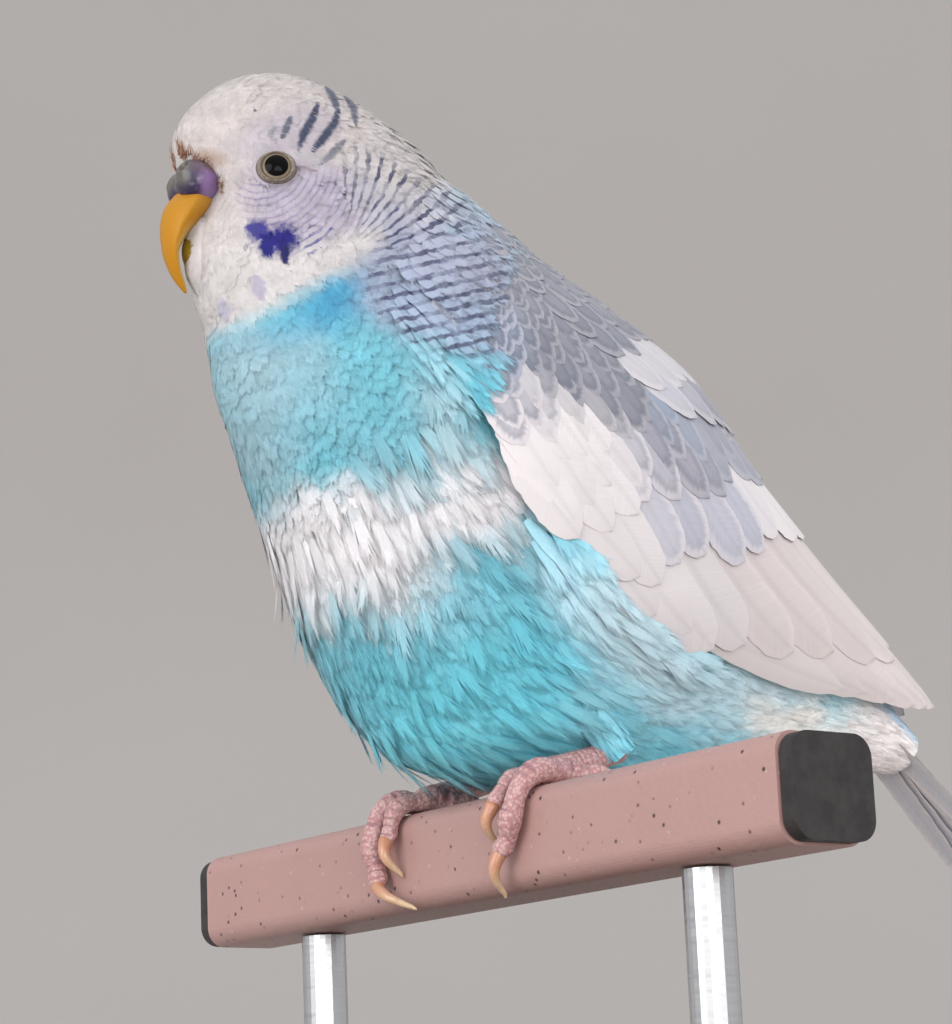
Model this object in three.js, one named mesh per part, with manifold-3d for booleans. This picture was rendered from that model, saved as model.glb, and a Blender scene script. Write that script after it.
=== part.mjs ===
// A life-size budgerigar, perched on a short length of square rail that a plain display stand holds.
// Millimetres, +Z up. The bird faces -Y and +X is its left. The origin is the middle of the base's underside.
import * as THREE from "three";
import { mergeVertices } from "three/addons/utils/BufferGeometryUtils.js";
import Module from "manifold-3d";

const wasm = await Module();
wasm.setup();

// The gap that two touching pieces keep.
const GAP = 0.3;

// Perch: a half-inch square rail, its top face RAIL.top above the floor.
const RAIL = { side: 12.7, corner: 2.6, length: 124, top: 56, plug: 2 };

// Stand: a flat base with two upright rods under the rail.
const BASE = { width: 130, depth: 96, height: 7, corner: 9, edge: 0.8 };
const ROD = { radius: 3, apart: 80, sides: 24 };

// Pose: the body is turned a little to its right on the rail, and the head a little further.
const BODY_YAW = 4;
const HEAD_YAW = 13;

// The bird's own frame: x is its left, y runs back, z up, from the middle of the rail's top face.
// Ribs of the body from the face to the undertail: dorsal y, z, ventral y, z, half width, and how far
// the sides of the face are swept back.
const RIBS = [
  [-41.5, 81.2, -39.2, 71.2, 3.4, 3.2],
  [-41.4, 85.6, -39.2, 66.4, 6.6, 4.0],
  [-38.6, 89.5, -39.0, 63.6, 9.2, 4.0],
  [-33.5, 92.9, -37.7, 59.4, 10.9, 2.6],
  [-26.4, 93.7, -37.1, 55.5, 12.0, 1.2],
  [-18.1, 90.6, -36.4, 50.4, 13.8],
  [-11.3, 84.9, -34.6, 45.4, 16.4],
  [-5.0, 77.5, -31.9, 39.0, 19.4],
  [2.6, 70.5, -28.2, 30.9, 22.0],
  [13.1, 64.4, -24.1, 20.6, 23.4],
  [25.4, 56.9, -18.4, 10.4, 23.2],
  [36.7, 46.9, -10.0, 4.0, 21.0],
  [45.9, 37.6, 5.0, 2.4, 16.6],
  [52.4, 30.8, 20.6, 2.4, 12.2],
  [57.2, 25.4, 34.0, 3.8, 8.8],
  [61.2, 20.8, 45.0, 5.8, 6.4],
  [65.2, 16.4, 56.0, 6.8, 4.8],
  [69.6, 11.8, 66.4, 6.4, 3.4],
];
const RIB_SIDES = 32;
const RINGS_PER_RIB = 2;
// Where the head, neck, torso and rump are parted, as places along the ribs.
const CUTS = { neck: 5.2, torso: 7.0, rump: 12.6 };
// The neck twists between these two ribs, about an upright axis.
const TWIST = { from: 4.6, to: 8.0, axisY: -20 };

// Head: forward, left and up from the middle of the eyes.
const HEAD = { y: -31.6, z: 77.2 };
const EYE = { side: 11.5, sink: 2.4, radius: 3.1, turn: 15, tilt: 7, sides: 16 };
const LID = { ring: 2.75, thick: 0.6, sink: 0.1 };
const CERE = { forward: 8.7, up: 0.8, apart: 2.1, long: 2.8, wide: 2.7, high: 2.4 };
const NOSTRIL = { side: 2.5, up: 0.6, radius: 0.55 };
// Level slices of the bill from its root to its tip: up, front, rear and half width.
const BILL_UPPER = [
  [-0.6, 10.6, 5.4, 4.5],
  [-2.2, 11.5, 5.4, 4.5],
  [-4.2, 12.1, 5.8, 4.3],
  [-6.2, 12.2, 6.6, 3.9],
  [-8.2, 12.0, 7.9, 3.2],
  [-10.0, 11.5, 8.6, 2.4],
  [-11.6, 10.8, 8.6, 1.6],
  [-12.9, 10.0, 8.5, 0.9],
  [-13.9, 9.3, 8.6, 0.35],
];
const BILL_LOWER = [
  [-6.6, 8.0, 5.0, 2.3],
  [-8.2, 8.4, 5.2, 2.4],
  [-9.6, 8.6, 5.8, 2.2],
  [-10.7, 8.6, 6.7, 1.7],
  [-11.4, 8.4, 7.5, 0.9],
];

// Folded wings lie on a mantle of their own: ribs like the body's, from the shoulder to the wing's tip.
const MANTLE = [
  [-18.5, 89.9, -36.6, 50.0, 14.5],
  [-11.3, 84.9, -35.2, 44.5, 17.4],
  [-4.5, 78.1, -32.7, 37.9, 20.8],
  [3.4, 71.6, -29.2, 29.6, 23.6],
  [14.4, 65.9, -24.7, 19.8, 25.0],
  [27.2, 58.8, -18.5, 10.3, 24.8],
  [37.9, 48.0, -10.0, 4.2, 22.8],
  [46.8, 39.8, 4.5, 2.4, 18.6],
  [54.7, 32.9, 22.0, 3.0, 14.2],
  [62.6, 26.2, 39.0, 5.6, 10.2],
  [69.7, 20.1, 55.0, 8.6, 6.6],
  [75.1, 15.7, 68.0, 10.4, 3.4],
];
// Outline of a wing's core on the mantle: place along its ribs, then the angles of its upper and lower edges.
const WING_OUTLINE = [
  [2.1, 60, 86],
  [2.5, 48, 96],
  [3.2, 38, 102],
  [4.0, 30, 104],
  [5.0, 24, 103],
  [6.0, 20, 98],
  [7.0, 18, 91],
  [8.2, 20, 74],
];
// The core's skin under the feathers, its depth in front and behind, and how near a wing comes to the middle.
const WING = { over: -0.1, edge: -0.4, under: 1.2, deep: 2.5, middle: 0.3, alongSteps: 9, acrossSteps: 3 };
// Feathers of the left wing, from the lowest tier to the topmost. Roots and tips run from the wing's lower
// edge to its upper one, as places along the mantle's ribs and angles on it. Lift is the height off the
// mantle, at root and tip.
const WING_TIERS = [
  {
    count: 6,
    width: 6.6,
    lift: [-1.1, 0],
    roots: [[4.7, 97], [5.4, 50]],
    tips: [[9.3, 89], [10.8, 56], [10, 22]],
  },
  {
    count: 6,
    width: 7.8,
    lift: [-0.8, 0.6],
    roots: [[4.4, 98], [5, 32]],
    tips: [[6.7, 99], [8.1, 80], [9.3, 46], [8.9, 18]],
  },
  {
    count: 6,
    width: 7.6,
    lift: [-0.4, 1.1],
    roots: [[4.2, 100], [5.4, 32]],
    tips: [[5.7, 97], [6.4, 72], [7, 28]],
  },
  {
    count: 5,
    width: 8.4,
    lift: [-0.3, 1.2],
    roots: [[3, 97], [4.4, 34]],
    tips: [[4.9, 99], [5.4, 72], [5.9, 30]],
  },
  {
    count: 4,
    width: 9.6,
    lift: [-0.4, 1.1],
    roots: [[2.1, 84], [3, 44]],
    tips: [[3.7, 97], [4.5, 44]],
  },
];
// Vanes: rows from root to tip, each a share of the length and a share of the half width, the thickness at
// root and tip, how much prouder the lower edge is than the upper one, and how unevenly the tips lie.
const VANE = {
  rows: [
    [0, 0.6],
    [0.45, 1],
    [0.88, 0.86],
    [1, 0.3],
  ],
  thick: 0.6,
  thin: 0.4,
  tilt: 0.35,
  sway: 0.35,
};

// Tail: root, pitch and size.
const TAIL = { y: 57, z: 19.2, pitch: 43, long: 94, width: 6.2, pairs: 6 };
// From the middle pair to the outermost: length, width, how far root and tip lie from the middle, how far
// each pair lies under the last, and how much the edges droop.
const TAIL_FAN = { shortest: 0.42, narrowest: 0.7, root: 0.6, tip: 0.9, spread: 4.5, step: 0.42, droop: 0.25 };

// Legs, in the rail's frame. Each toe runs from the foot's pad through points given as a place along
// the rail from the pad's middle and a distance round the rail's surface, forwards if positive.
const FEET = [
  {
    word: "left",
    x: 13,
    toes: [
      { digit: 1, radius: 1.2, path: [[-1.6, -1], [-2.8, -4.6], [-3.2, -8.4]], claw: [-3.4, -13.4] },
      { digit: 2, radius: 1.3, path: [[-1.2, -1], [-1.8, 3.4], [-2.6, 7.4]], claw: [-3.9, 12.0] },
      { digit: 3, radius: 1.5, path: [[0.8, -1], [2.2, 4.2], [0.6, 9.6], [-1.4, 13.2]], claw: [-2.6, 18.6] },
      { digit: 4, radius: 1.3, path: [[1.4, -1], [3.0, -5.6], [3.6, -10.6]], claw: [3.8, -15.8] },
    ],
  },
  {
    word: "right",
    x: -13,
    toes: [
      { digit: 1, radius: 1.2, path: [[1.6, -1], [2.6, -4.6], [2.8, -8.4]], claw: [3.0, -13.4] },
      { digit: 2, radius: 1.3, path: [[1.0, -1], [0.9, 4.0], [0.4, 8.8]], claw: [1.8, 13.6] },
      { digit: 3, radius: 1.5, path: [[-0.8, -1], [-1.9, 4.2], [-3, 9.6], [-1.8, 14.4]], claw: [4.6, 18] },
      { digit: 4, radius: 1.3, path: [[-1.4, -1], [-3.0, -5.6], [-3.6, -10.6]], claw: [-3.8, -15.8] },
    ],
  },
];
const TOE = { sides: 7, steps: 8, knuckles: 3, swell: 0.09 };
const CLAW = { arch: 1.2, radius: 0.75, tip: 0.2, sides: 6, steps: 5 };
const PAD = { y: -0.4, wide: 2.4, long: 2.6, high: 1.9 };
const SHANK = { ankleY: 10.6, ankleZ: 5.4, outward: -0.5, radius: 1.6 };
const THIGH = { hipX: 11, hipY: 2, hipZ: 17, top: 4.8, bottom: 2.8 };

const material = (color, roughness = 0.85, metalness = 0) =>
  new THREE.MeshStandardMaterial({ color, roughness, metalness });
const LOOKS = {
  white: material(0xe9e4e3),
  barred: material(0xb9b9c6),
  blue: material(0x6fc3d6),
  horn: material(0xe8a51f, 0.4),
  cere: material(0x8d7fa8, 0.5),
  eye: material(0x17120f, 0.1),
  skin: material(0xd9a7a0, 0.7),
  claw: material(0xd9b98a, 0.5),
  rail: material(0xb98f87, 0.55),
  wood: material(0x3a2b22, 0.5),
  steel: material(0xb8bbbe, 0.3, 1),
};

const vec = (x, y, z) => new THREE.Vector3(x, y, z);
const curveOf = (points) =>
  new THREE.CatmullRomCurve3(points.map((p) => vec(...p)), false, "catmullrom", 0.5);

// Solids

function solidOf(geometry) {
  const bare = geometry.clone();
  for (const name of Object.keys(bare.attributes)) if (name !== "position") bare.deleteAttribute(name);
  const merged = mergeVertices(bare, 1e-4);
  const mesh = new wasm.Mesh({
    numProp: 3,
    vertProperties: new Float32Array(merged.attributes.position.array),
    triVerts: new Uint32Array(merged.index.array),
  });
  return new wasm.Manifold(mesh);
}

// The largest closed surface of a solid, as a geometry.
function geometryOf(solid) {
  const pieces = solid.decompose().sort((a, b) => b.volume() - a.volume());
  const mesh = pieces[0].getMesh();
  const positions = new Float32Array(mesh.numVert * 3);
  for (let i = 0; i < mesh.numVert; i++)
    positions.set(mesh.vertProperties.subarray(i * mesh.numProp, i * mesh.numProp + 3), i * 3);
  const geometry = new THREE.BufferGeometry();
  geometry.setAttribute("position", new THREE.BufferAttribute(positions, 3));
  geometry.setIndex(new THREE.BufferAttribute(new Uint32Array(mesh.triVerts), 1));
  geometry.computeVertexNormals();
  return geometry;
}

// A closed skin over rings of points, with flat ends. Its faces are turned outwards.
function ringSolid(rings) {
  const count = rings[0].length;
  const positions = rings.flat().flatMap((p) => [p.x, p.y, p.z]);
  const faces = [];
  rings.slice(1).forEach((_, i) => {
    for (let j = 0; j < count; j++) {
      const k = (j + 1) % count;
      const [a, b, c, d] = [i * count + j, i * count + k, (i + 1) * count + j, (i + 1) * count + k];
      faces.push(a, b, d, a, d, c);
    }
  });
  [rings[0], rings[rings.length - 1]].forEach((ring, end) => {
    const middle = ring.reduce((sum, p) => sum.add(p), vec(0, 0, 0)).divideScalar(count);
    const tip = positions.length / 3;
    positions.push(middle.x, middle.y, middle.z);
    const first = end ? (rings.length - 1) * count : 0;
    for (let j = 0; j < count; j++) {
      const [a, b] = [first + j, first + ((j + 1) % count)];
      faces.push(...(end ? [a, b, tip] : [b, a, tip]));
    }
  });
  return facingOut(positions, faces);
}

function facingOut(positions, faces) {
  const build = (indices) => {
    const geometry = new THREE.BufferGeometry();
    geometry.setAttribute("position", new THREE.Float32BufferAttribute(positions, 3));
    geometry.setIndex(indices);
    return solidOf(geometry);
  };
  const made = build(faces);
  if (made.volume() > 0) return made;
  return build(faces.map((_, i) => faces[i - (i % 3) + 2 - (i % 3)]));
}

// A closed plate between two grids of points that match each other, split alike on both faces.
function plateSolid(front, back) {
  const rows = front.length;
  const columns = front[0].length;
  const positions = [...front.flat(), ...back.flat()].flatMap((p) => [p.x, p.y, p.z]);
  const at = (side, i, j) => side * rows * columns + i * columns + j;
  const faces = [];
  for (let i = 0; i + 1 < rows; i++)
    for (let j = 0; j + 1 < columns; j++)
      for (const side of [0, 1]) {
        const [a, b] = [at(side, i, j), at(side, i, j + 1)];
        const [c, d] = [at(side, i + 1, j), at(side, i + 1, j + 1)];
        faces.push(...(side ? [a, d, b, a, c, d] : [a, b, d, a, d, c]));
      }
  const rim = [];
  for (let j = 0; j < columns; j++) rim.push([0, j]);
  for (let i = 1; i < rows; i++) rim.push([i, columns - 1]);
  for (let j = columns - 2; j >= 0; j--) rim.push([rows - 1, j]);
  for (let i = rows - 2; i > 0; i--) rim.push([i, 0]);
  rim.forEach(([i, j], n) => {
    const [k, l] = rim[(n + 1) % rim.length];
    faces.push(at(0, i, j), at(1, k, l), at(0, k, l), at(0, i, j), at(1, i, j), at(1, k, l));
  });
  return facingOut(positions, faces);
}

// A tube of changing radius along a list of points, with its ends closed.
function tubeSolid(points, radii, sides) {
  const path = new THREE.CatmullRomCurve3(points);
  const steps = points.length - 1;
  const frames = path.computeFrenetFrames(steps, false);
  const rings = points.map((_, i) => {
    const middle = path.getPointAt(i / steps);
    return Array.from({ length: sides }, (_, j) => {
      const angle = (2 * Math.PI * j) / sides;
      return middle
        .clone()
        .addScaledVector(frames.normals[i], radii[i] * Math.cos(angle))
        .addScaledVector(frames.binormals[i], radii[i] * Math.sin(angle));
    });
  });
  return ringSolid(rings);
}

function ball(centre, radii, widthSides = 20, heightSides = 12) {
  const geometry = new THREE.SphereGeometry(1, widthSides, heightSides);
  geometry.scale(radii.x, radii.y, radii.z).translate(centre.x, centre.y, centre.z);
  return solidOf(geometry);
}

const union = (solids) => wasm.Manifold.union(solids);
const smoothstep = THREE.MathUtils.smoothstep;

// Lofts of ribs: the body itself, and the mantle that the folded wings lie on

const radians = THREE.MathUtils.degToRad;

function loftOf(ribs) {
  return {
    last: ribs.length - 1,
    dorsal: curveOf(ribs.map(([y, z]) => [0, y, z])),
    ventral: curveOf(ribs.map(([, , y, z]) => [0, y, z])),
    sides: curveOf(ribs.map(([, , , , w, sweep = 0], i) => [w, i, sweep])),
  };
}
const bodyLoft = loftOf(RIBS);
const mantleLoft = loftOf(MANTLE);

// A loft's section at a place along its ribs: its middle, its upward and rearward directions and its size.
function sectionOf(loft, rib) {
  const at = THREE.MathUtils.clamp(rib / loft.last, 0, 1);
  const dorsal = loft.dorsal.getPoint(at);
  const ventral = loft.ventral.getPoint(at);
  const up = dorsal.clone().sub(ventral);
  const high = up.length() / 2;
  up.normalize();
  const rear = vec(0, up.z, -up.y);
  const middle = dorsal.add(ventral).multiplyScalar(0.5);
  const sides = loft.sides.getPoint(at);
  return { middle, up, rear, high, wide: sides.x, sweep: sides.z };
}

// A point of a section, its angle measured from the top towards the bird's left.
function sectionPoint(section, angle, grow = 0) {
  const point = section.middle.clone().addScaledVector(section.up, (section.high + grow) * Math.cos(angle));
  point.x += (section.wide + grow) * Math.sin(angle);
  return point.addScaledVector(section.rear, section.sweep * Math.sin(angle) ** 4);
}

function twisted(point, rib) {
  const share = 1 - smoothstep(rib, TWIST.from, TWIST.to);
  const axis = vec(0, TWIST.axisY, 0);
  return point.sub(axis).applyAxisAngle(vec(0, 0, 1), radians(-HEAD_YAW * share)).add(axis);
}

// The body between two places along the ribs. Each end that meets a neighbour stops half a gap short of it,
// and a grown one reaches further at both ends.
function bodySolid(from, to, grow = 0) {
  const last = RIBS.length - 1;
  const steps = Math.max(2, Math.round((to - from) * RINGS_PER_RIB));
  const half = grow ? 0 : GAP / 2;
  const rings = Array.from({ length: steps + 1 }, (_, i) => {
    const rib = from + ((to - from) * i) / steps;
    const section = sectionOf(bodyLoft, rib);
    if (i === 0) section.middle.addScaledVector(section.rear, (from > 0 ? half : 0) - grow);
    if (i === steps) section.middle.addScaledVector(section.rear, grow - (to < last ? half : 0));
    return Array.from({ length: RIB_SIDES }, (_, j) =>
      twisted(sectionPoint(section, (2 * Math.PI * j) / RIB_SIDES, grow), rib),
    );
  });
  return ringSolid(rings);
}
const bodyGrown = bodySolid(0, RIBS.length - 1, GAP);

// Head

const headFrame = new THREE.Matrix4()
  .makeTranslation(0, TWIST.axisY, 0)
  .multiply(new THREE.Matrix4().makeRotationZ(radians(-HEAD_YAW)))
  .multiply(new THREE.Matrix4().makeTranslation(0, HEAD.y - TWIST.axisY, HEAD.z));
// A point given as forward, left and up from the middle of the eyes.
const inHead = (forward, left, up) => vec(left, -forward, up).applyMatrix4(headFrame);

// A point of an eye's axis, so far under the skin round the eye.
function onEyeAxis(side, sink) {
  const turn = radians(EYE.turn);
  const tilt = radians(EYE.tilt);
  const out = Math.cos(tilt) * Math.cos(turn) * sink;
  return inHead(
    -Math.cos(tilt) * Math.sin(turn) * sink,
    side * (EYE.side - out),
    -Math.sin(tilt) * sink,
  );
}

function eyeSolid(side, grow = 0) {
  const r = EYE.radius + grow;
  return ball(onEyeAxis(side, EYE.sink), vec(r, r, r), EYE.sides, 8);
}

function lidSolid(side) {
  const geometry = new THREE.TorusGeometry(LID.ring, LID.thick, 6, EYE.sides);
  const outwards = onEyeAxis(side, 0).sub(onEyeAxis(side, 1));
  geometry.applyQuaternion(new THREE.Quaternion().setFromUnitVectors(vec(0, 0, 1), outwards));
  const middle = onEyeAxis(side, LID.sink);
  return solidOf(geometry.translate(middle.x, middle.y, middle.z));
}

function headSolid() {
  const lids = union([lidSolid(1), lidSolid(-1)]);
  const eyes = union([eyeSolid(1, GAP), eyeSolid(-1, GAP)]);
  return bodySolid(0, CUTS.neck).add(lids).subtract(eyes);
}

function cereSolid(grow = 0) {
  const radii = vec(CERE.wide + grow, CERE.long + grow, CERE.high + grow);
  return union(
    [1, -1].map((side) => ball(inHead(CERE.forward, side * CERE.apart, CERE.up), radii, 12, 8)),
  );
}

function nostrils() {
  const holes = [1, -1].map((side) => {
    const up = CERE.up + NOSTRIL.up;
    const inner = inHead(CERE.forward + 0.8, side * NOSTRIL.side, up);
    const outer = inHead(CERE.forward + 5, side * (NOSTRIL.side + 2), up + 1.2);
    return tubeSolid([inner, outer], [NOSTRIL.radius, NOSTRIL.radius], 6);
  });
  return union(holes);
}

// Half of a bill: level rings through its slices, narrowing to the front.
function billSolid(slices, sides, steps, grow = 0) {
  const line = curveOf(slices.map(([up, front, rear]) => [rear, front, up]));
  const widths = curveOf(slices.map(([, , , half], i) => [half, i, 0]));
  const rings = Array.from({ length: steps + 1 }, (_, i) => {
    const slice = line.getPoint(i / steps);
    const half = widths.getPoint(i / steps).x + grow;
    const middle = (slice.x + slice.y) / 2;
    const long = (slice.y - slice.x) / 2 + grow;
    const drop = i === 0 ? grow : i === steps ? -grow : 0;
    return Array.from({ length: sides }, (_, j) => {
      const angle = (2 * Math.PI * j) / sides;
      const ahead = Math.cos(angle);
      const narrow = 1 - 0.28 * Math.max(0, ahead);
      return inHead(middle + long * ahead, half * narrow * Math.sin(angle), slice.z + drop);
    });
  });
  return ringSolid(rings);
}

// Feathers

// A seeded draw between 0 and 1, by the minimal standard generator.
const LEHMER = { seed: 7, factor: 16807, modulus: 2147483647 };
let drawn = LEHMER.seed;
function random() {
  drawn = (drawn * LEHMER.factor) % LEHMER.modulus;
  return drawn / LEHMER.modulus;
}
const varied = (size, share) => size * (1 + share * (2 * random() - 1));

// A feather's vane, three points across. Its place function takes a share of the length, a distance to the
// feather's left and a height.
function vaneSolid(place, width) {
  const face = (side) =>
    VANE.rows.map(([share, broad]) => {
      const thick = VANE.thick + (VANE.thin - VANE.thick) * share;
      return [-1, 0, 1].map((across) => place(share, (across * broad * width) / 2, (side * thick) / 2));
    });
  return plateSolid(face(1), face(-1));
}

// Wings

// A point of the mantle that the folded wings lie on.
function mantlePoint(rib, degrees, raise = 0) {
  return sectionPoint(sectionOf(mantleLoft, rib), radians(degrees), raise);
}

// A point of the mantle so far to the left of a line that runs across it in the direction given.
function besideLine(rib, degrees, [ribs, turn], left, raise) {
  const point = mantlePoint(rib, degrees);
  const nudge = 0.05;
  const perRib = mantlePoint(rib + nudge, degrees).sub(point).divideScalar(nudge);
  const perDegree = mantlePoint(rib, degrees + 1).sub(point);
  const ahead = perRib.clone().multiplyScalar(ribs).addScaledVector(perDegree, turn);
  const side = ahead.clone().cross(perDegree.clone().cross(perRib)).setLength(left);
  const [a, b, c] = [perRib.lengthSq(), perRib.dot(perDegree), perDegree.lengthSq()];
  const [p, q] = [side.dot(perRib), side.dot(perDegree)];
  const ribsBeside = (p * c - q * b) / (a * c - b * b);
  const degreesBeside = (q * a - p * b) / (a * c - b * b);
  return mantlePoint(rib + ribsBeside, degrees + degreesBeside, raise);
}

function wingTier({ count, width, lift, roots, tips }) {
  const rootLine = curveOf(roots.map(([rib, degrees]) => [rib, degrees, 0]));
  const tipLine = curveOf(tips.map(([rib, degrees]) => [rib, degrees, 0]));
  return Array.from({ length: count }, (_, i) => {
    const from = rootLine.getPoint(i / (count - 1));
    const to = tipLine.getPoint(i / (count - 1));
    to.x += VANE.sway * (random() - 0.5);
    const wide = varied(width, 0.08);
    return vaneSolid((share, left, height) => {
      const at = from.clone().lerp(to, share);
      const raise = lift[0] + (lift[1] - lift[0]) * Math.sqrt(share) + (VANE.tilt * left) / wide + height;
      return besideLine(at.x, at.y, [to.x - from.x, to.y - from.y], left, raise);
    }, wide);
  });
}

// The wing's core, in the mantle's surface and a little under it.
function wingCore() {
  const outline = curveOf(WING_OUTLINE);
  const grid = (raise) =>
    Array.from({ length: WING.alongSteps + 1 }, (_, i) => {
      const s = i / WING.alongSteps;
      const [rib, upper, lower] = outline.getPoint(s).toArray();
      return Array.from({ length: WING.acrossSteps + 1 }, (_, j) => {
        const t = j / WING.acrossSteps;
        return mantlePoint(rib, upper + (lower - upper) * t, raise(s, t));
      });
    });
  const front = grid((s, t) => WING.edge + (WING.over - WING.edge) * (1 - (2 * t - 1) ** 4));
  const back = grid((s) => -WING.under - WING.deep * (1 - smoothstep(s, 0.6, 1)));
  return plateSolid(front, back);
}

function wingSolid() {
  const beyond = new THREE.BoxGeometry(20, 200, 200).translate(WING.middle - 10, 0, 0);
  return union([wingCore(), ...WING_TIERS.flatMap(wingTier)]).subtract(solidOf(beyond));
}

// Tail

function tailPoint(back, left, raise) {
  const pitch = radians(TAIL.pitch);
  return vec(
    left,
    TAIL.y + back * Math.cos(pitch) + raise * Math.sin(pitch),
    TAIL.z - back * Math.sin(pitch) + raise * Math.cos(pitch),
  );
}

// One tail feather: the middle pair is the longest and lies on top.
function tailFeather(pair, side) {
  const share = pair / (TAIL.pairs - 1);
  const long = TAIL.long * (1 + (TAIL_FAN.shortest - 1) * share ** 0.8);
  const wide = varied(TAIL.width * (1 + (TAIL_FAN.narrowest - 1) * share), 0.05);
  const under = TAIL_FAN.step * (pair + (side < 0 ? 0.5 : 0));
  return vaneSolid((along, left, height) => {
    const tip = TAIL_FAN.tip + TAIL_FAN.spread * share;
    const middle = side * THREE.MathUtils.lerp(TAIL_FAN.root, tip, along);
    const droop = TAIL_FAN.droop * Math.abs(left / wide);
    return tailPoint(long * along, middle + left, height - under - droop);
  }, wide);
}

function tailSolid() {
  const feathers = [];
  for (let pair = 0; pair < TAIL.pairs; pair++)
    for (const side of [1, -1]) feathers.push(tailFeather(pair, side));
  return union(feathers);
}

// Feet, in the rail's frame: x along the rail, y back, z up, from the middle of its top face.

// A point off the rail's surface: how far round it from the middle of the top, forwards if positive.
function aroundRail(x, distance, offset) {
  const flat = RAIL.side / 2 - RAIL.corner;
  const arc = (RAIL.corner * Math.PI) / 2;
  const d = Math.abs(distance);
  const sign = Math.sign(distance);
  const radius = RAIL.corner + offset;
  if (d <= flat) return vec(x, -distance, offset);
  if (d <= flat + arc) {
    const angle = (d - flat) / RAIL.corner;
    return vec(x, -sign * (flat + radius * Math.sin(angle)), radius * Math.cos(angle) - RAIL.corner);
  }
  return vec(x, -sign * (RAIL.side / 2 + offset), -RAIL.corner - (d - flat - arc));
}

function toeSolid(foot, toe) {
  const line = curveOf(toe.path.map(([x, distance]) => [foot.x + x, distance, 0]));
  const points = [];
  const radii = [];
  for (let i = 0; i <= TOE.steps; i++) {
    const k = i / TOE.steps;
    const swell = TOE.swell * Math.cos(2 * Math.PI * TOE.knuckles * k);
    const radius = toe.radius * (1.04 - 0.2 * k + swell) * (i === TOE.steps ? 0.8 : 1);
    const at = line.getPoint(k);
    points.push(aroundRail(at.x, at.y, radius + GAP));
    radii.push(radius);
  }
  return tubeSolid(points, radii, TOE.sides);
}

// A claw arches off the rail and comes back to it, starting a gap beyond its toe's end.
function clawSolid(foot, toe) {
  const [x0, d0] = toe.path[toe.path.length - 1];
  const [x1, d1] = toe.claw;
  const run = Math.hypot(x1 - x0, d1 - d0);
  const [xBefore, dBefore] = toe.path[toe.path.length - 2];
  const turn = vec(x1 - x0, d1 - d0, 0).angleTo(vec(x0 - xBefore, d0 - dBefore, 0));
  const start = GAP + 0.15 + CLAW.radius * Math.sin(turn);
  const points = [];
  const radii = [];
  for (let i = 0; i <= CLAW.steps; i++) {
    const k = i / CLAW.steps;
    const at = (start + (run - start) * k) / run;
    const radius = CLAW.radius * (1 - k) + CLAW.tip * k;
    const arch = CLAW.arch * Math.sin(Math.PI * Math.min(1, k * 1.1));
    const offset = GAP + 0.05 + radius + 0.45 * toe.radius * (1 - k) + arch;
    points.push(aroundRail(foot.x + x0 + (x1 - x0) * at, d0 + (d1 - d0) * at, offset));
    radii.push(radius);
  }
  return tubeSolid(points, radii, CLAW.sides);
}

const shankEnds = (foot) => [
  vec(foot.x, PAD.y, PAD.high + GAP),
  vec(foot.x + Math.sign(foot.x) * SHANK.outward, SHANK.ankleY, SHANK.ankleZ),
];

function shankSolid(foot, grow = 0) {
  const [from, to] = shankEnds(foot);
  const points = [0, 0.33, 0.66, 1].map((k) => from.clone().lerp(to, k));
  const radii = [1.15, 1.05, 0.97, 0.9].map((share) => SHANK.radius * share + grow);
  return tubeSolid(points, radii, 10);
}

function padSolid(foot, grow = 0) {
  const centre = vec(foot.x, PAD.y, PAD.high + GAP);
  return ball(centre, vec(PAD.wide + grow, PAD.long + grow, PAD.high + grow), 12, 8);
}

function footSolid(foot) {
  return union([padSolid(foot), shankSolid(foot), ...foot.toes.map((toe) => toeSolid(foot, toe))]);
}

// The feathered leg, sunk in the belly down to the ankle.
function thighSolid(foot, grow = 0) {
  const [, ankle] = shankEnds(foot);
  const hip = vec(Math.sign(foot.x) * THIGH.hipX, THIGH.hipY, THIGH.hipZ);
  const end = ankle.clone().add(vec(0, -0.6, -0.2));
  const points = [0, 0.3, 0.6, 0.85, 1].map((k) => hip.clone().lerp(end, k));
  const shape = [0.7, 1, 0.8, 0.5, 0.2];
  const radii = shape.map((k) => THIGH.bottom + (THIGH.top - THIGH.bottom) * k + grow);
  return tubeSolid(points, radii, 16);
}

const shankClear = (foot) => union([shankSolid(foot, GAP), padSolid(foot, GAP)]);
const turned = (solid, degrees) => solid.rotate([0, 0, degrees]);

// Stand and perch, in the part's frame

function roundedRectangle(width, depth, radius) {
  const [w, d] = [width / 2, depth / 2];
  const shape = new THREE.Shape();
  shape.moveTo(-w + radius, -d);
  shape.lineTo(w - radius, -d);
  shape.absarc(w - radius, -d + radius, radius, -Math.PI / 2, 0);
  shape.lineTo(w, d - radius);
  shape.absarc(w - radius, d - radius, radius, 0, Math.PI / 2);
  shape.lineTo(-w + radius, d);
  shape.absarc(-w + radius, d - radius, radius, Math.PI / 2, Math.PI);
  shape.lineTo(-w, -d + radius);
  shape.absarc(-w + radius, -d + radius, radius, Math.PI, 1.5 * Math.PI);
  return shape;
}

function baseGeometry() {
  const edge = BASE.edge;
  const shape = roundedRectangle(BASE.width - 2 * edge, BASE.depth - 2 * edge, BASE.corner - edge);
  const geometry = new THREE.ExtrudeGeometry(shape, {
    depth: BASE.height - 2 * edge,
    bevelThickness: edge,
    bevelSize: edge,
    bevelSegments: 1,
    curveSegments: 5,
  });
  return geometry.translate(0, 0, edge);
}

function rodGeometry() {
  const length = RAIL.top - RAIL.side - BASE.height - 2 * GAP;
  const geometry = new THREE.CylinderGeometry(ROD.radius, ROD.radius, length, ROD.sides);
  return geometry.rotateX(Math.PI / 2).translate(0, 0, BASE.height + GAP + length / 2);
}

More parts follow.
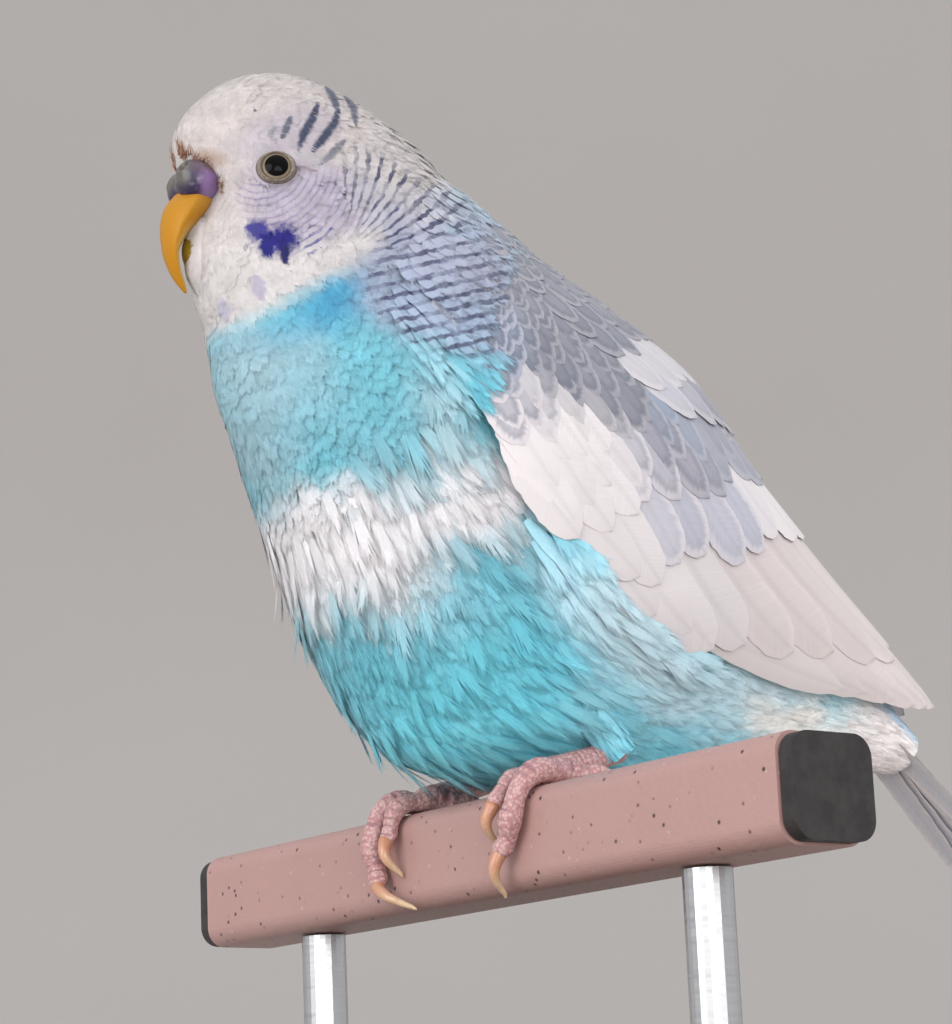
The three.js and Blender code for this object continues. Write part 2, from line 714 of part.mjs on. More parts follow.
// A length of the rail's section, centred on the rail's axis.
function railGeometry(length, inset = 0) {
  const side = RAIL.side - 2 * inset;
  const shape = roundedRectangle(side, side, RAIL.corner);
  const geometry = new THREE.ExtrudeGeometry(shape, { depth: length, bevelEnabled: false, curveSegments: 5 });
  geometry.translate(0, 0, -length / 2).rotateY(Math.PI / 2);
  return geometry.translate(0, 0, RAIL.top - RAIL.side / 2);
}

// Assembly

const part = new THREE.Group();
const onRail = new THREE.Group();
onRail.position.z = RAIL.top;
const bird = new THREE.Group();
bird.position.z = RAIL.top;
bird.rotation.z = radians(-BODY_YAW);
part.add(onRail, bird);

function add(group, name, shape, look) {
  const geometry = shape.isBufferGeometry ? shape : geometryOf(shape);
  const mesh = new THREE.Mesh(geometry, look);
  mesh.name = name;
  group.add(mesh);
  return mesh;
}

const SIDES = [
  { word: "left", sign: 1 },
  { word: "right", sign: -1 },
];

add(part, "stand_base", baseGeometry(), LOOKS.wood);
for (const { word, sign } of SIDES)
  add(part, `stand_rod_${word}`, rodGeometry(), LOOKS.steel).position.x = (sign * ROD.apart) / 2;

const barLength = RAIL.length - 2 * (RAIL.plug + GAP);
add(part, "perch_rail", railGeometry(barLength), LOOKS.rail);
for (const { word, sign } of SIDES)
  add(part, `perch_plug_${word}`, railGeometry(RAIL.plug, 0.3), LOOKS.wood).position.x =
    (sign * (RAIL.length - RAIL.plug)) / 2;

const legRoom = union(FEET.map((foot) => thighSolid(foot, GAP).add(shankClear(foot))));
add(bird, "head", headSolid(), LOOKS.white);
add(bird, "neck", bodySolid(CUTS.neck, CUTS.torso), LOOKS.barred);
add(bird, "torso", bodySolid(CUTS.torso, CUTS.rump).subtract(turned(legRoom, BODY_YAW)), LOOKS.blue);
add(bird, "rump", bodySolid(CUTS.rump, RIBS.length - 1), LOOKS.white);

const headWider = bodySolid(0, CUTS.neck, 1.5 * GAP);
const forwards = inHead(1.5 * GAP, 0, 0).sub(inHead(0, 0, 0));
const headGrown = headWider.add(headWider.translate(forwards.toArray()));
const upperBill = billSolid(BILL_UPPER, 14, 12).subtract(headGrown).subtract(cereSolid(GAP));
const upperBillGrown = billSolid(BILL_UPPER, 14, 12, GAP);
const lowerBill = billSolid(BILL_LOWER, 10, 6).subtract(headGrown).subtract(upperBillGrown);
add(bird, "cere", cereSolid().subtract(headGrown).subtract(nostrils()), LOOKS.cere);
add(bird, "bill_upper", upperBill, LOOKS.horn);
add(bird, "bill_lower", lowerBill, LOOKS.horn);
for (const { word, sign } of SIDES) add(bird, `eye_${word}`, eyeSolid(sign), LOOKS.eye);

const leftWing = wingSolid().subtract(bodyGrown);
add(bird, "wing_left", leftWing, LOOKS.white);
add(bird, "wing_right", leftWing.mirror([1, 0, 0]), LOOKS.white);
add(bird, "tail", tailSolid().subtract(bodyGrown), LOOKS.white);

for (const foot of FEET) {
  add(onRail, `leg_${foot.word}`, thighSolid(foot).subtract(shankClear(foot)), LOOKS.blue);
  add(onRail, `foot_${foot.word}`, footSolid(foot), LOOKS.skin);
  for (const toe of foot.toes)
    add(onRail, `claw_${foot.word}_${toe.digit}`, clawSolid(foot, toe), LOOKS.claw);
}

export default part;
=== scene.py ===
import math

import bpy
import numpy as np
from mathutils import Matrix, Vector


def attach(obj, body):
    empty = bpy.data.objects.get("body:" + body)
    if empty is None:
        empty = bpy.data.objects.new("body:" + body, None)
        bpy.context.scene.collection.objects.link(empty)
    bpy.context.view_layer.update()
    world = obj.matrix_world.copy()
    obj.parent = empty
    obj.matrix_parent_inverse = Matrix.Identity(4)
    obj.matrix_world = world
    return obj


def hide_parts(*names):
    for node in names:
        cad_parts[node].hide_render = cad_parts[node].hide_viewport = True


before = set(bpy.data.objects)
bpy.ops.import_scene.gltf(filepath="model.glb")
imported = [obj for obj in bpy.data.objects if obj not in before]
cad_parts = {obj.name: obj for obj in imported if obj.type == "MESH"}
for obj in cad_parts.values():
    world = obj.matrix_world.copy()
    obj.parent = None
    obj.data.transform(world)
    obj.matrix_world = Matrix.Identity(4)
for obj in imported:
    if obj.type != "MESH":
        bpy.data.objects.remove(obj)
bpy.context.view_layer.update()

MM = 0.001

# The bird's driving sizes, the same as the solids'.
RAIL = dict(side=12.7, corner=2.6, top=56.0)
RAIL_TOP = np.array([0, 0, RAIL["top"]])
BODY_YAW = 4.0
HEAD_YAW = 13.0
SIDES = (("left", 1), ("right", -1))
# Ribs of the body: dorsal y, z, ventral y, z, half width, sweep of the sides.
RIBS = [
    (-41.5, 81.2, -39.2, 71.2, 3.4, 3.2),
    (-41.4, 85.6, -39.2, 66.4, 6.6, 4.0),
    (-38.6, 89.5, -39.0, 63.6, 9.2, 4.0),
    (-33.5, 92.9, -37.7, 59.4, 10.9, 2.6),
    (-26.4, 93.7, -37.1, 55.5, 12.0, 1.2),
    (-18.1, 90.6, -36.4, 50.4, 13.8, 0),
    (-11.3, 84.9, -34.6, 45.4, 16.4, 0),
    (-5.0, 77.5, -31.9, 39.0, 19.4, 0),
    (2.6, 70.5, -28.2, 30.9, 22.0, 0),
    (13.1, 64.4, -24.1, 20.6, 23.4, 0),
    (25.4, 56.9, -18.4, 10.4, 23.2, 0),
    (36.7, 46.9, -10.0, 4.0, 21.0, 0),
    (45.9, 37.6, 5.0, 2.4, 16.6, 0),
    (52.4, 30.8, 20.6, 2.4, 12.2, 0),
    (57.2, 25.4, 34.0, 3.8, 8.8, 0),
    (61.2, 20.8, 45.0, 5.8, 6.4, 0),
    (65.2, 16.4, 56.0, 6.8, 4.8, 0),
    (69.6, 11.8, 66.4, 6.4, 3.4, 0),
]
TWIST = dict(start=4.6, end=8.0, axis_y=-20.0)
# The mantle that the folded wings lie on.
MANTLE = [
    (-18.5, 89.9, -36.6, 50.0, 14.5, 0),
    (-11.3, 84.9, -35.2, 44.5, 17.4, 0),
    (-4.5, 78.1, -32.7, 37.9, 20.8, 0),
    (3.4, 71.6, -29.2, 29.6, 23.6, 0),
    (14.4, 65.9, -24.7, 19.8, 25.0, 0),
    (27.2, 58.8, -18.5, 10.3, 24.8, 0),
    (37.9, 48.0, -10.0, 4.2, 22.8, 0),
    (46.8, 39.8, 4.5, 2.4, 18.6, 0),
    (54.7, 32.9, 22.0, 3.0, 14.2, 0),
    (62.6, 26.2, 39.0, 5.6, 10.2, 0),
    (69.7, 20.1, 55.0, 8.6, 6.6, 0),
    (75.1, 15.7, 68.0, 10.4, 3.4, 0),
]
# Head: places are forward, left and up from the middle of the eyes.
HEAD = dict(y=-31.6, z=77.2)
EYE = dict(side=11.5, sink=2.4, radius=3.1, turn=15.0, tilt=7.0)

CERE = dict(forward=7.6, up=0.8, apart=2.1, long=2.95, wide=2.75, high=2.85)
# Slices of the bill, from the top down: up, front, rear, half width.
BILL_UPPER = [
    (-0.6, 10.2, 5.2, 3.0),
    (-2.2, 11.4, 5.5, 4.1),
    (-4.2, 12.0, 7.2, 4.0),
    (-6.2, 12.05, 8.9, 3.4),
    (-8.2, 11.8, 9.9, 2.6),
    (-10.0, 11.3, 9.8, 1.8),
    (-11.4, 10.7, 9.4, 1.2),
    (-12.6, 9.9, 9.0, 0.7),
    (-13.4, 9.2, 8.85, 0.3),
]
BILL_LOWER = [
    (-5.4, 8.6, 5.0, 2.6),
    (-7.2, 9.3, 5.2, 2.7),
    (-8.8, 9.3, 5.8, 2.4),
    (-9.8, 8.9, 6.7, 1.8),
    (-10.4, 8.4, 7.2, 0.9),
]

# The camera, as the photograph was taken: millimetres and degrees.
CAMERA = dict(place=(298.85, -226.20, 6.0), target=(-0.48, -0.64, 94.02), roll=2.5, lens=104.2)
PHOTO = dict(width=952, height=1024, sensor=36.0)
PIXELS_PER_MM = 7.7
EYE_PIXEL = (276.0, 167.0)


# Small numeric helpers

def smooth(value, low, high):
    share = np.clip((np.asarray(value, float) - low) / (high - low), 0, 1)
    return share * share * (3 - 2 * share)


def mix(a, b, share):
    share = np.asarray(share)[..., None]
    return np.asarray(a) * (1 - share) + np.asarray(b) * share


def steady(value):
    """A function of the rib that gives one value everywhere."""
    return lambda rib: value + 0 * rib


def unit(vectors):
    return vectors / np.maximum(np.linalg.norm(vectors, axis=-1, keepdims=True), 1e-9)


def turn_z(points, degrees):
    a = np.radians(degrees)
    x, y, z = points[..., 0], points[..., 1], points[..., 2]
    return np.stack([x * np.cos(a) - y * np.sin(a), x * np.sin(a) + y * np.cos(a), z + 0 * a], -1)


def waves(points, scale, seed):
    """A smooth field of about -1 to 1, from crossing sine waves of about that wavelength in millimetres."""
    draw = np.random.default_rng(seed)
    total = 0
    for _ in range(6):
        direction = draw.normal(size=3)
        direction *= 2 * np.pi / scale * draw.uniform(0.6, 1.5) / np.linalg.norm(direction)
        total = total + np.sin(points @ direction + draw.uniform(0, 2 * np.pi))
    return total / 2.6


def catmull_rom(rows, at):
    rows = np.asarray(rows, float)
    last = len(rows) - 1
    at = np.clip(at, 0, last)
    i = np.minimum(at.astype(int), last - 1)
    w = (at - i)[..., None]
    ends = np.vstack([2 * rows[0] - rows[1], rows, 2 * rows[-1] - rows[-2]])
    a, b, c, d = ends[i], ends[i + 1], ends[i + 2], ends[i + 3]
    return 0.5 * (2 * b + (c - a) * w + (2 * a - 5 * b + 4 * c - d) * w**2 + (3 * b - a - 3 * c + d) * w**3)


# Frames: the bird's own, and the part's

def about_neck(points, degrees):
    """Points turned about the neck's upright axis."""
    axis = np.array([0, TWIST["axis_y"], 0])
    return turn_z(points - axis, degrees) + axis


def twisted(points, rib, back=False):
    """Points of a straight bird with the head's turn put in, or taken out again."""
    share = 1 - smooth(rib, TWIST["start"], TWIST["end"])
    return about_neck(points, HEAD_YAW * share * (1 if back else -1))


def in_head(forward, left, up):
    """A point of the head, in the bird's frame."""
    forward, left, up = np.broadcast_arrays(forward, left, up)
    return about_neck(np.stack([left, HEAD["y"] - forward, HEAD["z"] + up], -1), -HEAD_YAW)


def head_place(points):
    """Forward, left and up from the middle of the eyes, from points of the bird's frame."""
    plain = about_neck(points, HEAD_YAW)
    return HEAD["y"] - plain[..., 1], plain[..., 0], plain[..., 2] - HEAD["z"]


def to_part(points):
    """From the bird's frame to the part's."""
    return turn_z(points, -BODY_YAW) + RAIL_TOP


def camera_axes():
    place, target = np.array(CAMERA["place"]), np.array(CAMERA["target"])
    ahead = unit(target - place)
    right = unit(np.cross(ahead, [0, 0, 1]))
    up = np.cross(right, ahead)
    a = np.radians(CAMERA["roll"])
    return place, ahead, np.cos(a) * right - np.sin(a) * up, np.sin(a) * right + np.cos(a) * up


def side_view(points):
    """Where points of the bird's frame lie in the picture plane of its left side: millimetres right of and
    above the eye. The markings are laid out in it."""
    place, ahead, right, up = camera_axes()
    ray = to_part(points) - place
    focal = CAMERA["lens"] / PHOTO["sensor"] * PHOTO["height"]
    depth = ray @ ahead
    px = PHOTO["width"] / 2 + focal * (ray @ right) / depth
    py = PHOTO["height"] / 2 - focal * (ray @ up) / depth
    return np.stack([(px - EYE_PIXEL[0]) / PIXELS_PER_MM, (EYE_PIXEL[1] - py) / PIXELS_PER_MM], -1)


# Surfaces

class Surface:
    """A smooth surface over ribs and angles (radians, from the top towards the left), with its normals."""
    RIB_STEP = 0.05
    SIDES = 360

    def __init__(self, ribs, twist=False, line=None):
        self.ribs = np.arange(0, len(ribs) - 1 + self.RIB_STEP / 2, self.RIB_STEP)
        self.angles = np.linspace(-np.pi, np.pi, self.SIDES + 1)
        self.turn_step = self.angles[1] - self.angles[0]
        rib, angle = np.meshgrid(self.ribs, self.angles, indexing="ij")
        row = catmull_rom(ribs, rib)
        self.plain = self.tube_points(row, angle, line) if line else self.loft_points(row, rib, angle)
        self.points = twisted(self.plain, rib) if twist else self.plain
        self.along, self.around = self.slopes()
        self.normals = unit(np.cross(self.around, self.along))

    def tube_points(self, row, angle, line):
        """A tube round a straight line, with the ribs' radii."""
        start, end = (np.array(p) for p in line)
        ahead = unit(end - start)
        front = unit(np.array([0, -1.0, 0]) + ahead * ahead[1])
        beside = np.cross(ahead, front)
        share = (np.arange(len(self.ribs)) / (len(self.ribs) - 1))[:, None, None]
        round_it = np.cos(angle)[..., None] * front + np.sin(angle)[..., None] * beside
        return start * (1 - share) + end * share + row[..., 0][..., None] * round_it

    def loft_points(self, row, rib, angle):
        dorsal = np.stack([0 * rib, row[..., 0], row[..., 1]], -1)
        ventral = np.stack([0 * rib, row[..., 2], row[..., 3]], -1)
        up = unit(dorsal - ventral)
        high = np.linalg.norm(dorsal - ventral, axis=-1) / 2
        points = (dorsal + ventral) / 2 + up * (high * np.cos(angle))[..., None]
        points[..., 0] += row[..., 4] * np.sin(angle)
        rear = np.stack([0 * rib, up[..., 2], -up[..., 1]], -1)
        return points + rear * (row[..., 5] * np.sin(angle) ** 4)[..., None]

    def slopes(self):
        """Millimetres per rib and per radian, on the grid."""
        along = np.gradient(self.points, self.RIB_STEP, axis=0)
        wrapped = np.concatenate([self.points[:, -2:-1], self.points, self.points[:, 1:2]], 1)
        return along, (wrapped[:, 2:] - wrapped[:, :-2]) / (2 * self.turn_step)

    def look_up(self, grid, rib, angle):
        u = np.clip(rib, 0, self.ribs[-1]) / self.RIB_STEP
        v = ((angle + np.pi) % (2 * np.pi)) / self.turn_step
        i = np.minimum(u.astype(int), len(self.ribs) - 2)
        j = np.minimum(v.astype(int), len(self.angles) - 2)
        a, b = (u - i)[..., None], (v - j)[..., None]
        near = grid[i, j] * (1 - b) + grid[i, j + 1] * b
        far = grid[i + 1, j] * (1 - b) + grid[i + 1, j + 1] * b
        return near * (1 - a) + far * a

    def at(self, rib, angle, height=0.0):
        normals = unit(self.look_up(self.normals, rib, angle))
        return self.look_up(self.points, rib, angle) + normals * np.asarray(height)[..., None]

    def steps(self, rib, angle, direction):
        """The ribs and radians that one millimetre in a direction along the surface takes."""
        p = self.look_up(self.along, rib, angle)
        q = self.look_up(self.around, rib, angle)
        a, b, c = (p * p).sum(-1), (p * q).sum(-1), (q * q).sum(-1)
        d, e = (p * direction).sum(-1), (q * direction).sum(-1)
        size = a * c - b * b
        return (d * c - e * b) / size, (e * a - d * b) / size


body = Surface(RIBS, twist=True)
mantle = Surface(MANTLE)
THIGH_RADII = [(2.8,), (3.6,), (3.2,), (2.3,), (1.5,)]
CHIN_RADII = [(3.0,), (3.3,), (3.4,), (3.1,), (1.6,)]
thighs = [Surface(THIGH_RADII, line=((side * 11, 2, 17), (side * 13.4, 10.6, 4.6))) for _, side in SIDES]


# Meshes

def make_object(name, points, faces, material, slot, replaces=(), values=None, uv=None, normals=None,
                in_part=False):
    """A smooth mesh of points in the bird's frame, or the part's, with colours and scalars by name at them."""
    mesh = bpy.data.meshes.new(name)
    points = np.asarray(points, float).reshape(-1, 3)
    placed = points if in_part else to_part(points)
    faces = np.asarray(faces, np.int32)
    sides = faces.shape[1]
    mesh.vertices.add(len(placed))
    mesh.vertices.foreach_set("co", (placed * MM).astype(np.float32).ravel())
    mesh.loops.add(faces.size)
    mesh.loops.foreach_set("vertex_index", faces.ravel())
    mesh.polygons.add(len(faces))
    mesh.polygons.foreach_set("loop_start", np.arange(0, faces.size, sides, dtype=np.int32))
    mesh.polygons.foreach_set("use_smooth", np.full(len(faces), True))
    if uv is not None:
        layer = mesh.uv_layers.new(name="OFBake")
        layer.data.foreach_set("uv", np.asarray(uv)[faces.ravel()].astype(np.float32).ravel())
    mesh.update(calc_edges=True)
    add_values(mesh, values or {})
    if normals is not None:
        mesh.normals_split_custom_set_from_vertices(turn_z(normals, -BODY_YAW).tolist())
    dress(bpy.data.objects.new(name, mesh), material, replaces)


def add_values(mesh, values):
    """Colours have three numbers at each point and scalars have one."""
    count = len(mesh.vertices)
    for key, value in values.items():
        rows = np.asarray(value, np.float32).reshape(count, -1)
        if rows.shape[1] == 1:
            mesh.attributes.new(key, "FLOAT", "POINT").data.foreach_set("value", rows.ravel())
        else:
            rgba = np.concatenate([rows, np.ones((count, 1), np.float32)], 1)
            mesh.attributes.new(key, "FLOAT_COLOR", "POINT").data.foreach_set("color", rgba.ravel())


def link(piece):
    bpy.context.scene.collection.objects.link(piece)
    return piece


def paint(piece, material):
    piece.data.materials.clear()
    piece.data.materials.append(material)


def dress(piece, material, replaces=()):
    if piece.name not in bpy.context.scene.collection.objects:
        link(piece)
    paint(piece, material)
    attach(piece, "root")
    if replaces:
        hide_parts(*replaces)


def grid_faces(rows, columns, wrap=False):
    i, j = np.meshgrid(np.arange(rows - 1), np.arange(columns if wrap else columns - 1), indexing="ij")
    k = (j + 1) % columns
    a, b, c, d = i * columns + j, i * columns + k, (i + 1) * columns + k, (i + 1) * columns + j
    return np.stack([a, b, c, d], -1).reshape(-1, 4)


def triangles(quads):
    return np.concatenate([quads[:, [0, 1, 2]], quads[:, [0, 2, 3]]])


def closed_faces(rows, columns, inside_out=False, split=True):
    """Faces of a wrapped grid, split into triangles or not. Two points that follow the grid's own close its
    first and last rings."""
    quads = grid_faces(rows, columns, wrap=True)
    here = np.arange(columns)
    after = (here + 1) % columns
    count, last = rows * columns, (rows - 1) * columns
    fans = np.concatenate([np.stack([here, np.full(columns, count), after], -1),
                           np.stack([last + after, np.full(columns, count + 1), last + here], -1)])
    if inside_out:
        quads, fans = quads[:, ::-1], fans[:, ::-1]
    return np.concatenate([triangles(quads), fans]) if split else quads.tolist() + fans.tolist()


def with_ends(values):
    """Values of a wrapped grid, and those of the two points that close it."""
    return np.concatenate([values, values[:1], values[-1:]])


def join_parts(parts):
    """The points and faces of several meshes as one."""
    starts = np.cumsum([0] + [len(points) for points, _ in parts[:-1]])
    faces = np.concatenate([faces + start for (_, faces), start in zip(parts, starts)])
    return np.concatenate([points for points, _ in parts]), faces


def fuse(name, parts, voxel, rounds):
    """One soft closed skin over overlapping parts, and its points. All are in millimetres of the part."""
    verts, polys = [], []
    for points, faces in parts:
        polys += [[i + len(verts) for i in face] for face in faces]
        verts += (points * MM).tolist()
    mesh = bpy.data.meshes.new(name)
    mesh.from_pydata(verts, [], polys)
    piece = link(bpy.data.objects.new(name, mesh))
    fused = piece.modifiers.new("fuse", "REMESH")
    fused.mode = "VOXEL"
    fused.voxel_size = voxel * MM
    soften = piece.modifiers.new("soften", "SMOOTH")
    soften.factor = 0.5
    soften.iterations = rounds
    bpy.context.view_layer.update()
    evaluated = piece.evaluated_get(bpy.context.evaluated_depsgraph_get())
    mesh = bpy.data.meshes.new_from_object(evaluated)
    piece.modifiers.clear()
    piece.data = mesh
    flat = np.empty(len(mesh.vertices) * 3, np.float32)
    mesh.vertices.foreach_get("co", flat)
    return piece, flat.reshape(-1, 3).astype(float) / MM


def move_points(piece, points):
    piece.data.vertices.foreach_set("co", (points * MM).astype(np.float32).ravel())
    piece.data.polygons.foreach_set("use_smooth", np.full(len(piece.data.polygons), True))


def sphere_angles(rows, sides, poles=True):
    """Angles down from the pole and round it, on a grid of rings with or without the two poles."""
    down = np.linspace(0, np.pi, rows) if poles else np.linspace(0, np.pi, rows + 2)[1:-1]
    return np.meshgrid(down, np.linspace(0, 2 * np.pi, sides, endpoint=False), indexing="ij")


# Node materials

class Nodes:
    """Short calls for building a material's node tree."""

    def __init__(self, name, roughness=0.6, **settings):
        self.material = bpy.data.materials.new(name)
        self.material.use_nodes = True
        self.tree = self.material.node_tree
        self.shader = self.tree.nodes["Principled BSDF"]
        self.shader.inputs["Roughness"].default_value = roughness
        for key, value in settings.items():
            self.shader.inputs[key.replace("_", " ")].default_value = value

    def node(self, kind, inputs=(), **settings):
        made = self.tree.nodes.new("ShaderNode" + kind)
        for key, value in settings.items():
            setattr(made, key, value)
        for key, value in dict(inputs).items():
            self.feed(made.inputs[key], value)
        return made

    def feed(self, socket, value):
        if isinstance(value, bpy.types.NodeSocket):
            self.tree.links.new(value, socket)
        elif isinstance(value, (tuple, list)) and socket.type == "RGBA" and len(value) == 3:
            socket.default_value = (*value, 1)
        else:
            socket.default_value = value

    def value(self, name):
        return self.node("Attribute", attribute_name=name).outputs["Fac"]

    def colour(self, name):
        return self.node("Attribute", attribute_name=name).outputs["Color"]

    def place(self):
        return self.node("TexCoord").outputs["Object"]

    def math(self, operation, a, b=0.0, clamp=False):
        return self.node("Math", {0: a, 1: b}, operation=operation, use_clamp=clamp).outputs[0]

    def times(self, a, b, clamp=False):
        return self.math("MULTIPLY", a, b, clamp)

    def plus(self, a, b):
        return self.math("ADD", a, b)

    def noise(self, scale, detail=3.0, vector=None, rough=0.55):
        inputs = {"Vector": vector or self.place(), "Scale": scale, "Detail": detail, "Roughness": rough}
        return self.node("TexNoise", inputs).outputs["Fac"]

    def drift(self, amount, *settings, **named):
        """Noise about zero."""
        return self.times(self.math("SUBTRACT", self.noise(*settings, **named), 0.5), amount)

    def stretched(self, scale):
        return self.node("Mapping", {"Vector": self.place(), "Scale": scale}).outputs[0]

    def cells(self, scale):
        inputs = {"Vector": self.place(), "Scale": scale}
        return self.node("TexVoronoi", inputs, feature="F1").outputs["Distance"]

    def ramp(self, value, low, high, start=0.0, end=1.0):
        inputs = {"Value": value, "From Min": low, "From Max": high, "To Min": start, "To Max": end}
        return self.node("MapRange", inputs, interpolation_type="SMOOTHSTEP").outputs["Result"]

    def blend(self, share, a, b, mode="MIX"):
        made = self.node("Mix", data_type="RGBA", blend_type=mode)
        for socket, value in (("Factor", share), (6, a), (7, b)):
            self.feed(made.inputs[socket], value)
        return made.outputs[2]

    def bump(self, height, strength, distance=0.0001):
        made = self.node("Bump", {"Height": height, "Strength": strength, "Distance": distance})
        self.set("Normal", made.outputs["Normal"])

    def set(self, socket, value):
        self.feed(self.shader.inputs[socket], value)

    def set_shaded(self, colour, fleck):
        """The base colour, made darker and lighter by a grain and by each point's own shade."""
        fleck = self.times(fleck, self.value("shade"))
        shades = self.node("CombineColor", {0: fleck, 1: fleck, 2: fleck}).outputs[0]
        self.set("Base Color", self.blend(1.0, colour, shades, mode="MULTIPLY"))


# Colours, linear.
WHITE = (0.70, 0.66, 0.655)
CREAM = (0.86, 0.79, 0.73)
LILAC = (0.47, 0.42, 0.51)
NECK_GREY = (0.50, 0.51, 0.63)
NECK_BLUE = (0.33, 0.45, 0.60)
SKY = (0.07, 0.35, 0.58)
TURQUOISE = (0.17, 0.59, 0.72)
PALE_TURQUOISE = (0.38, 0.57, 0.65)
DEEP_TURQUOISE = (0.14, 0.64, 0.76)
# The flank's pale blue, made brighter than its own colour as painted light where the folded wing shades the
# flank.
PALE_FLANK = (0.64, 0.87, 0.96)
BAND = (0.97, 0.945, 0.97)
SLATE = (0.05, 0.06, 0.11)
VIOLET_SLATE = (0.08, 0.085, 0.16)
FINE_LILAC = (0.27, 0.23, 0.36)
CHEEK = (0.012, 0.010, 0.17)
RUST = (0.42, 0.20, 0.09)
DARK_GREY = (0.10, 0.11, 0.15)
WING_WHITE = (0.78, 0.73, 0.735)


def feather_material(name):
    """Small feathers take their colour, with the painted light and shade that it holds, dark bars and strokes
    where they have them, and a fine grain.
    """
    n = Nodes(name, roughness=0.75, Sheen_Weight=0.2, Sheen_Roughness=0.5, Specular_IOR_Level=0.3,
              Subsurface_Weight=0.3, Subsurface_Radius=(1.0, 1.0, 1.0), Subsurface_Scale=0.0003)
    n.shader.subsurface_method = "BURLEY"
    turns = n.plus(n.value("phase"), n.drift(0.7, 700.0, 2.0))
    wave = n.math("SINE", n.times(turns, 2 * math.pi))
    breaks = n.ramp(n.noise(420.0, 2.0), 0.36, 0.62, 0.35, 1.0)
    dark = n.times(n.ramp(wave, 0.15, 0.75), n.times(n.value("barred"), breaks), clamp=True)
    colour = n.blend(dark, n.colour("ground"), n.colour("ink"))
    edge = n.plus(n.value("stroke"), n.drift(1.5, 1500.0, 3.0))
    colour = n.blend(n.ramp(edge, 2.3, 3.5), colour, n.colour("stroke_ink"))
    n.set_shaded(colour, n.ramp(n.noise(2600.0, 2.0), 0.3, 0.7, 0.965, 1.02))
    return n.material


def vane_material(name):
    """Large feathers: a paler fringe round a darker middle, and fine barb lines run out from the shaft."""
    n = Nodes(name, roughness=0.6, Sheen_Weight=0.15, Sheen_Roughness=0.5, Specular_IOR_Level=0.35)
    lines = n.node("CombineXYZ", {0: n.value("barb_line"), 1: n.value("seed"), 2: 0.0}).outputs[0]
    streak = n.noise(4.5, 2.0, vector=lines, rough=0.7)
    reach = n.plus(n.value("reach"), n.drift(0.45, 1.2, 2.0, vector=lines, rough=0.5))
    inside = n.times(n.ramp(reach, 0.88, 0.60), n.value("mark"), clamp=True)
    deep = n.times(n.ramp(reach, 0.25, 0.62), n.value("rim"), clamp=True)
    colour = n.blend(inside, n.colour("ground"), n.blend(deep, n.colour("ink"), DARK_GREY))
    n.set_shaded(colour, n.ramp(streak, 0.3, 0.7, 0.96, 1.03))
    n.bump(streak, 0.2)
    return n.material


def plain_material(name, colour, dark, scale, roughness):
    """A surface with blotches of a darker colour and a fine grain."""
    n = Nodes(name, roughness=roughness)
    n.set("Base Color", n.blend(n.ramp(n.noise(scale, 5.0), 0.35, 0.7), colour, dark))
    n.set("Roughness", n.ramp(n.noise(scale * 3, 3.0), 0.2, 0.8, roughness * 0.85, roughness * 1.2))
    n.bump(n.noise(scale * 8, 4.0), 0.2)
    return n.material


# Markings

def side_points(points, rib):
    """Markings are alike on both sides: points of the right side are read at their mirror place."""
    plain = twisted(points, rib, back=True)
    plain = np.stack([np.abs(plain[..., 0]), plain[..., 1], plain[..., 2]], -1)
    return side_view(twisted(plain, rib))


def blob(view, centre, radii, turn=0.0, soft=0.35):
    """1 inside a soft-edged ellipse of the side view, 0 outside it."""
    a = np.radians(turn)
    x, y = view[..., 0] - centre[0], view[..., 1] - centre[1]
    p = (x * np.cos(a) + y * np.sin(a)) / radii[0]
    q = (y * np.cos(a) - x * np.sin(a)) / radii[1]
    return 1 - smooth(np.hypot(p, q), 1 - soft, 1 + soft)


def below_line(view, start, end, soft):
    """1 below a line of the side view, 0 above it."""
    (x0, y0), (x1, y1) = start, end
    dx, dy = x1 - x0, y1 - y0
    down = ((view[..., 0] - x0) * dy - (view[..., 1] - y0) * dx) / math.hypot(dx, dy)
    return smooth(down, -soft, soft)


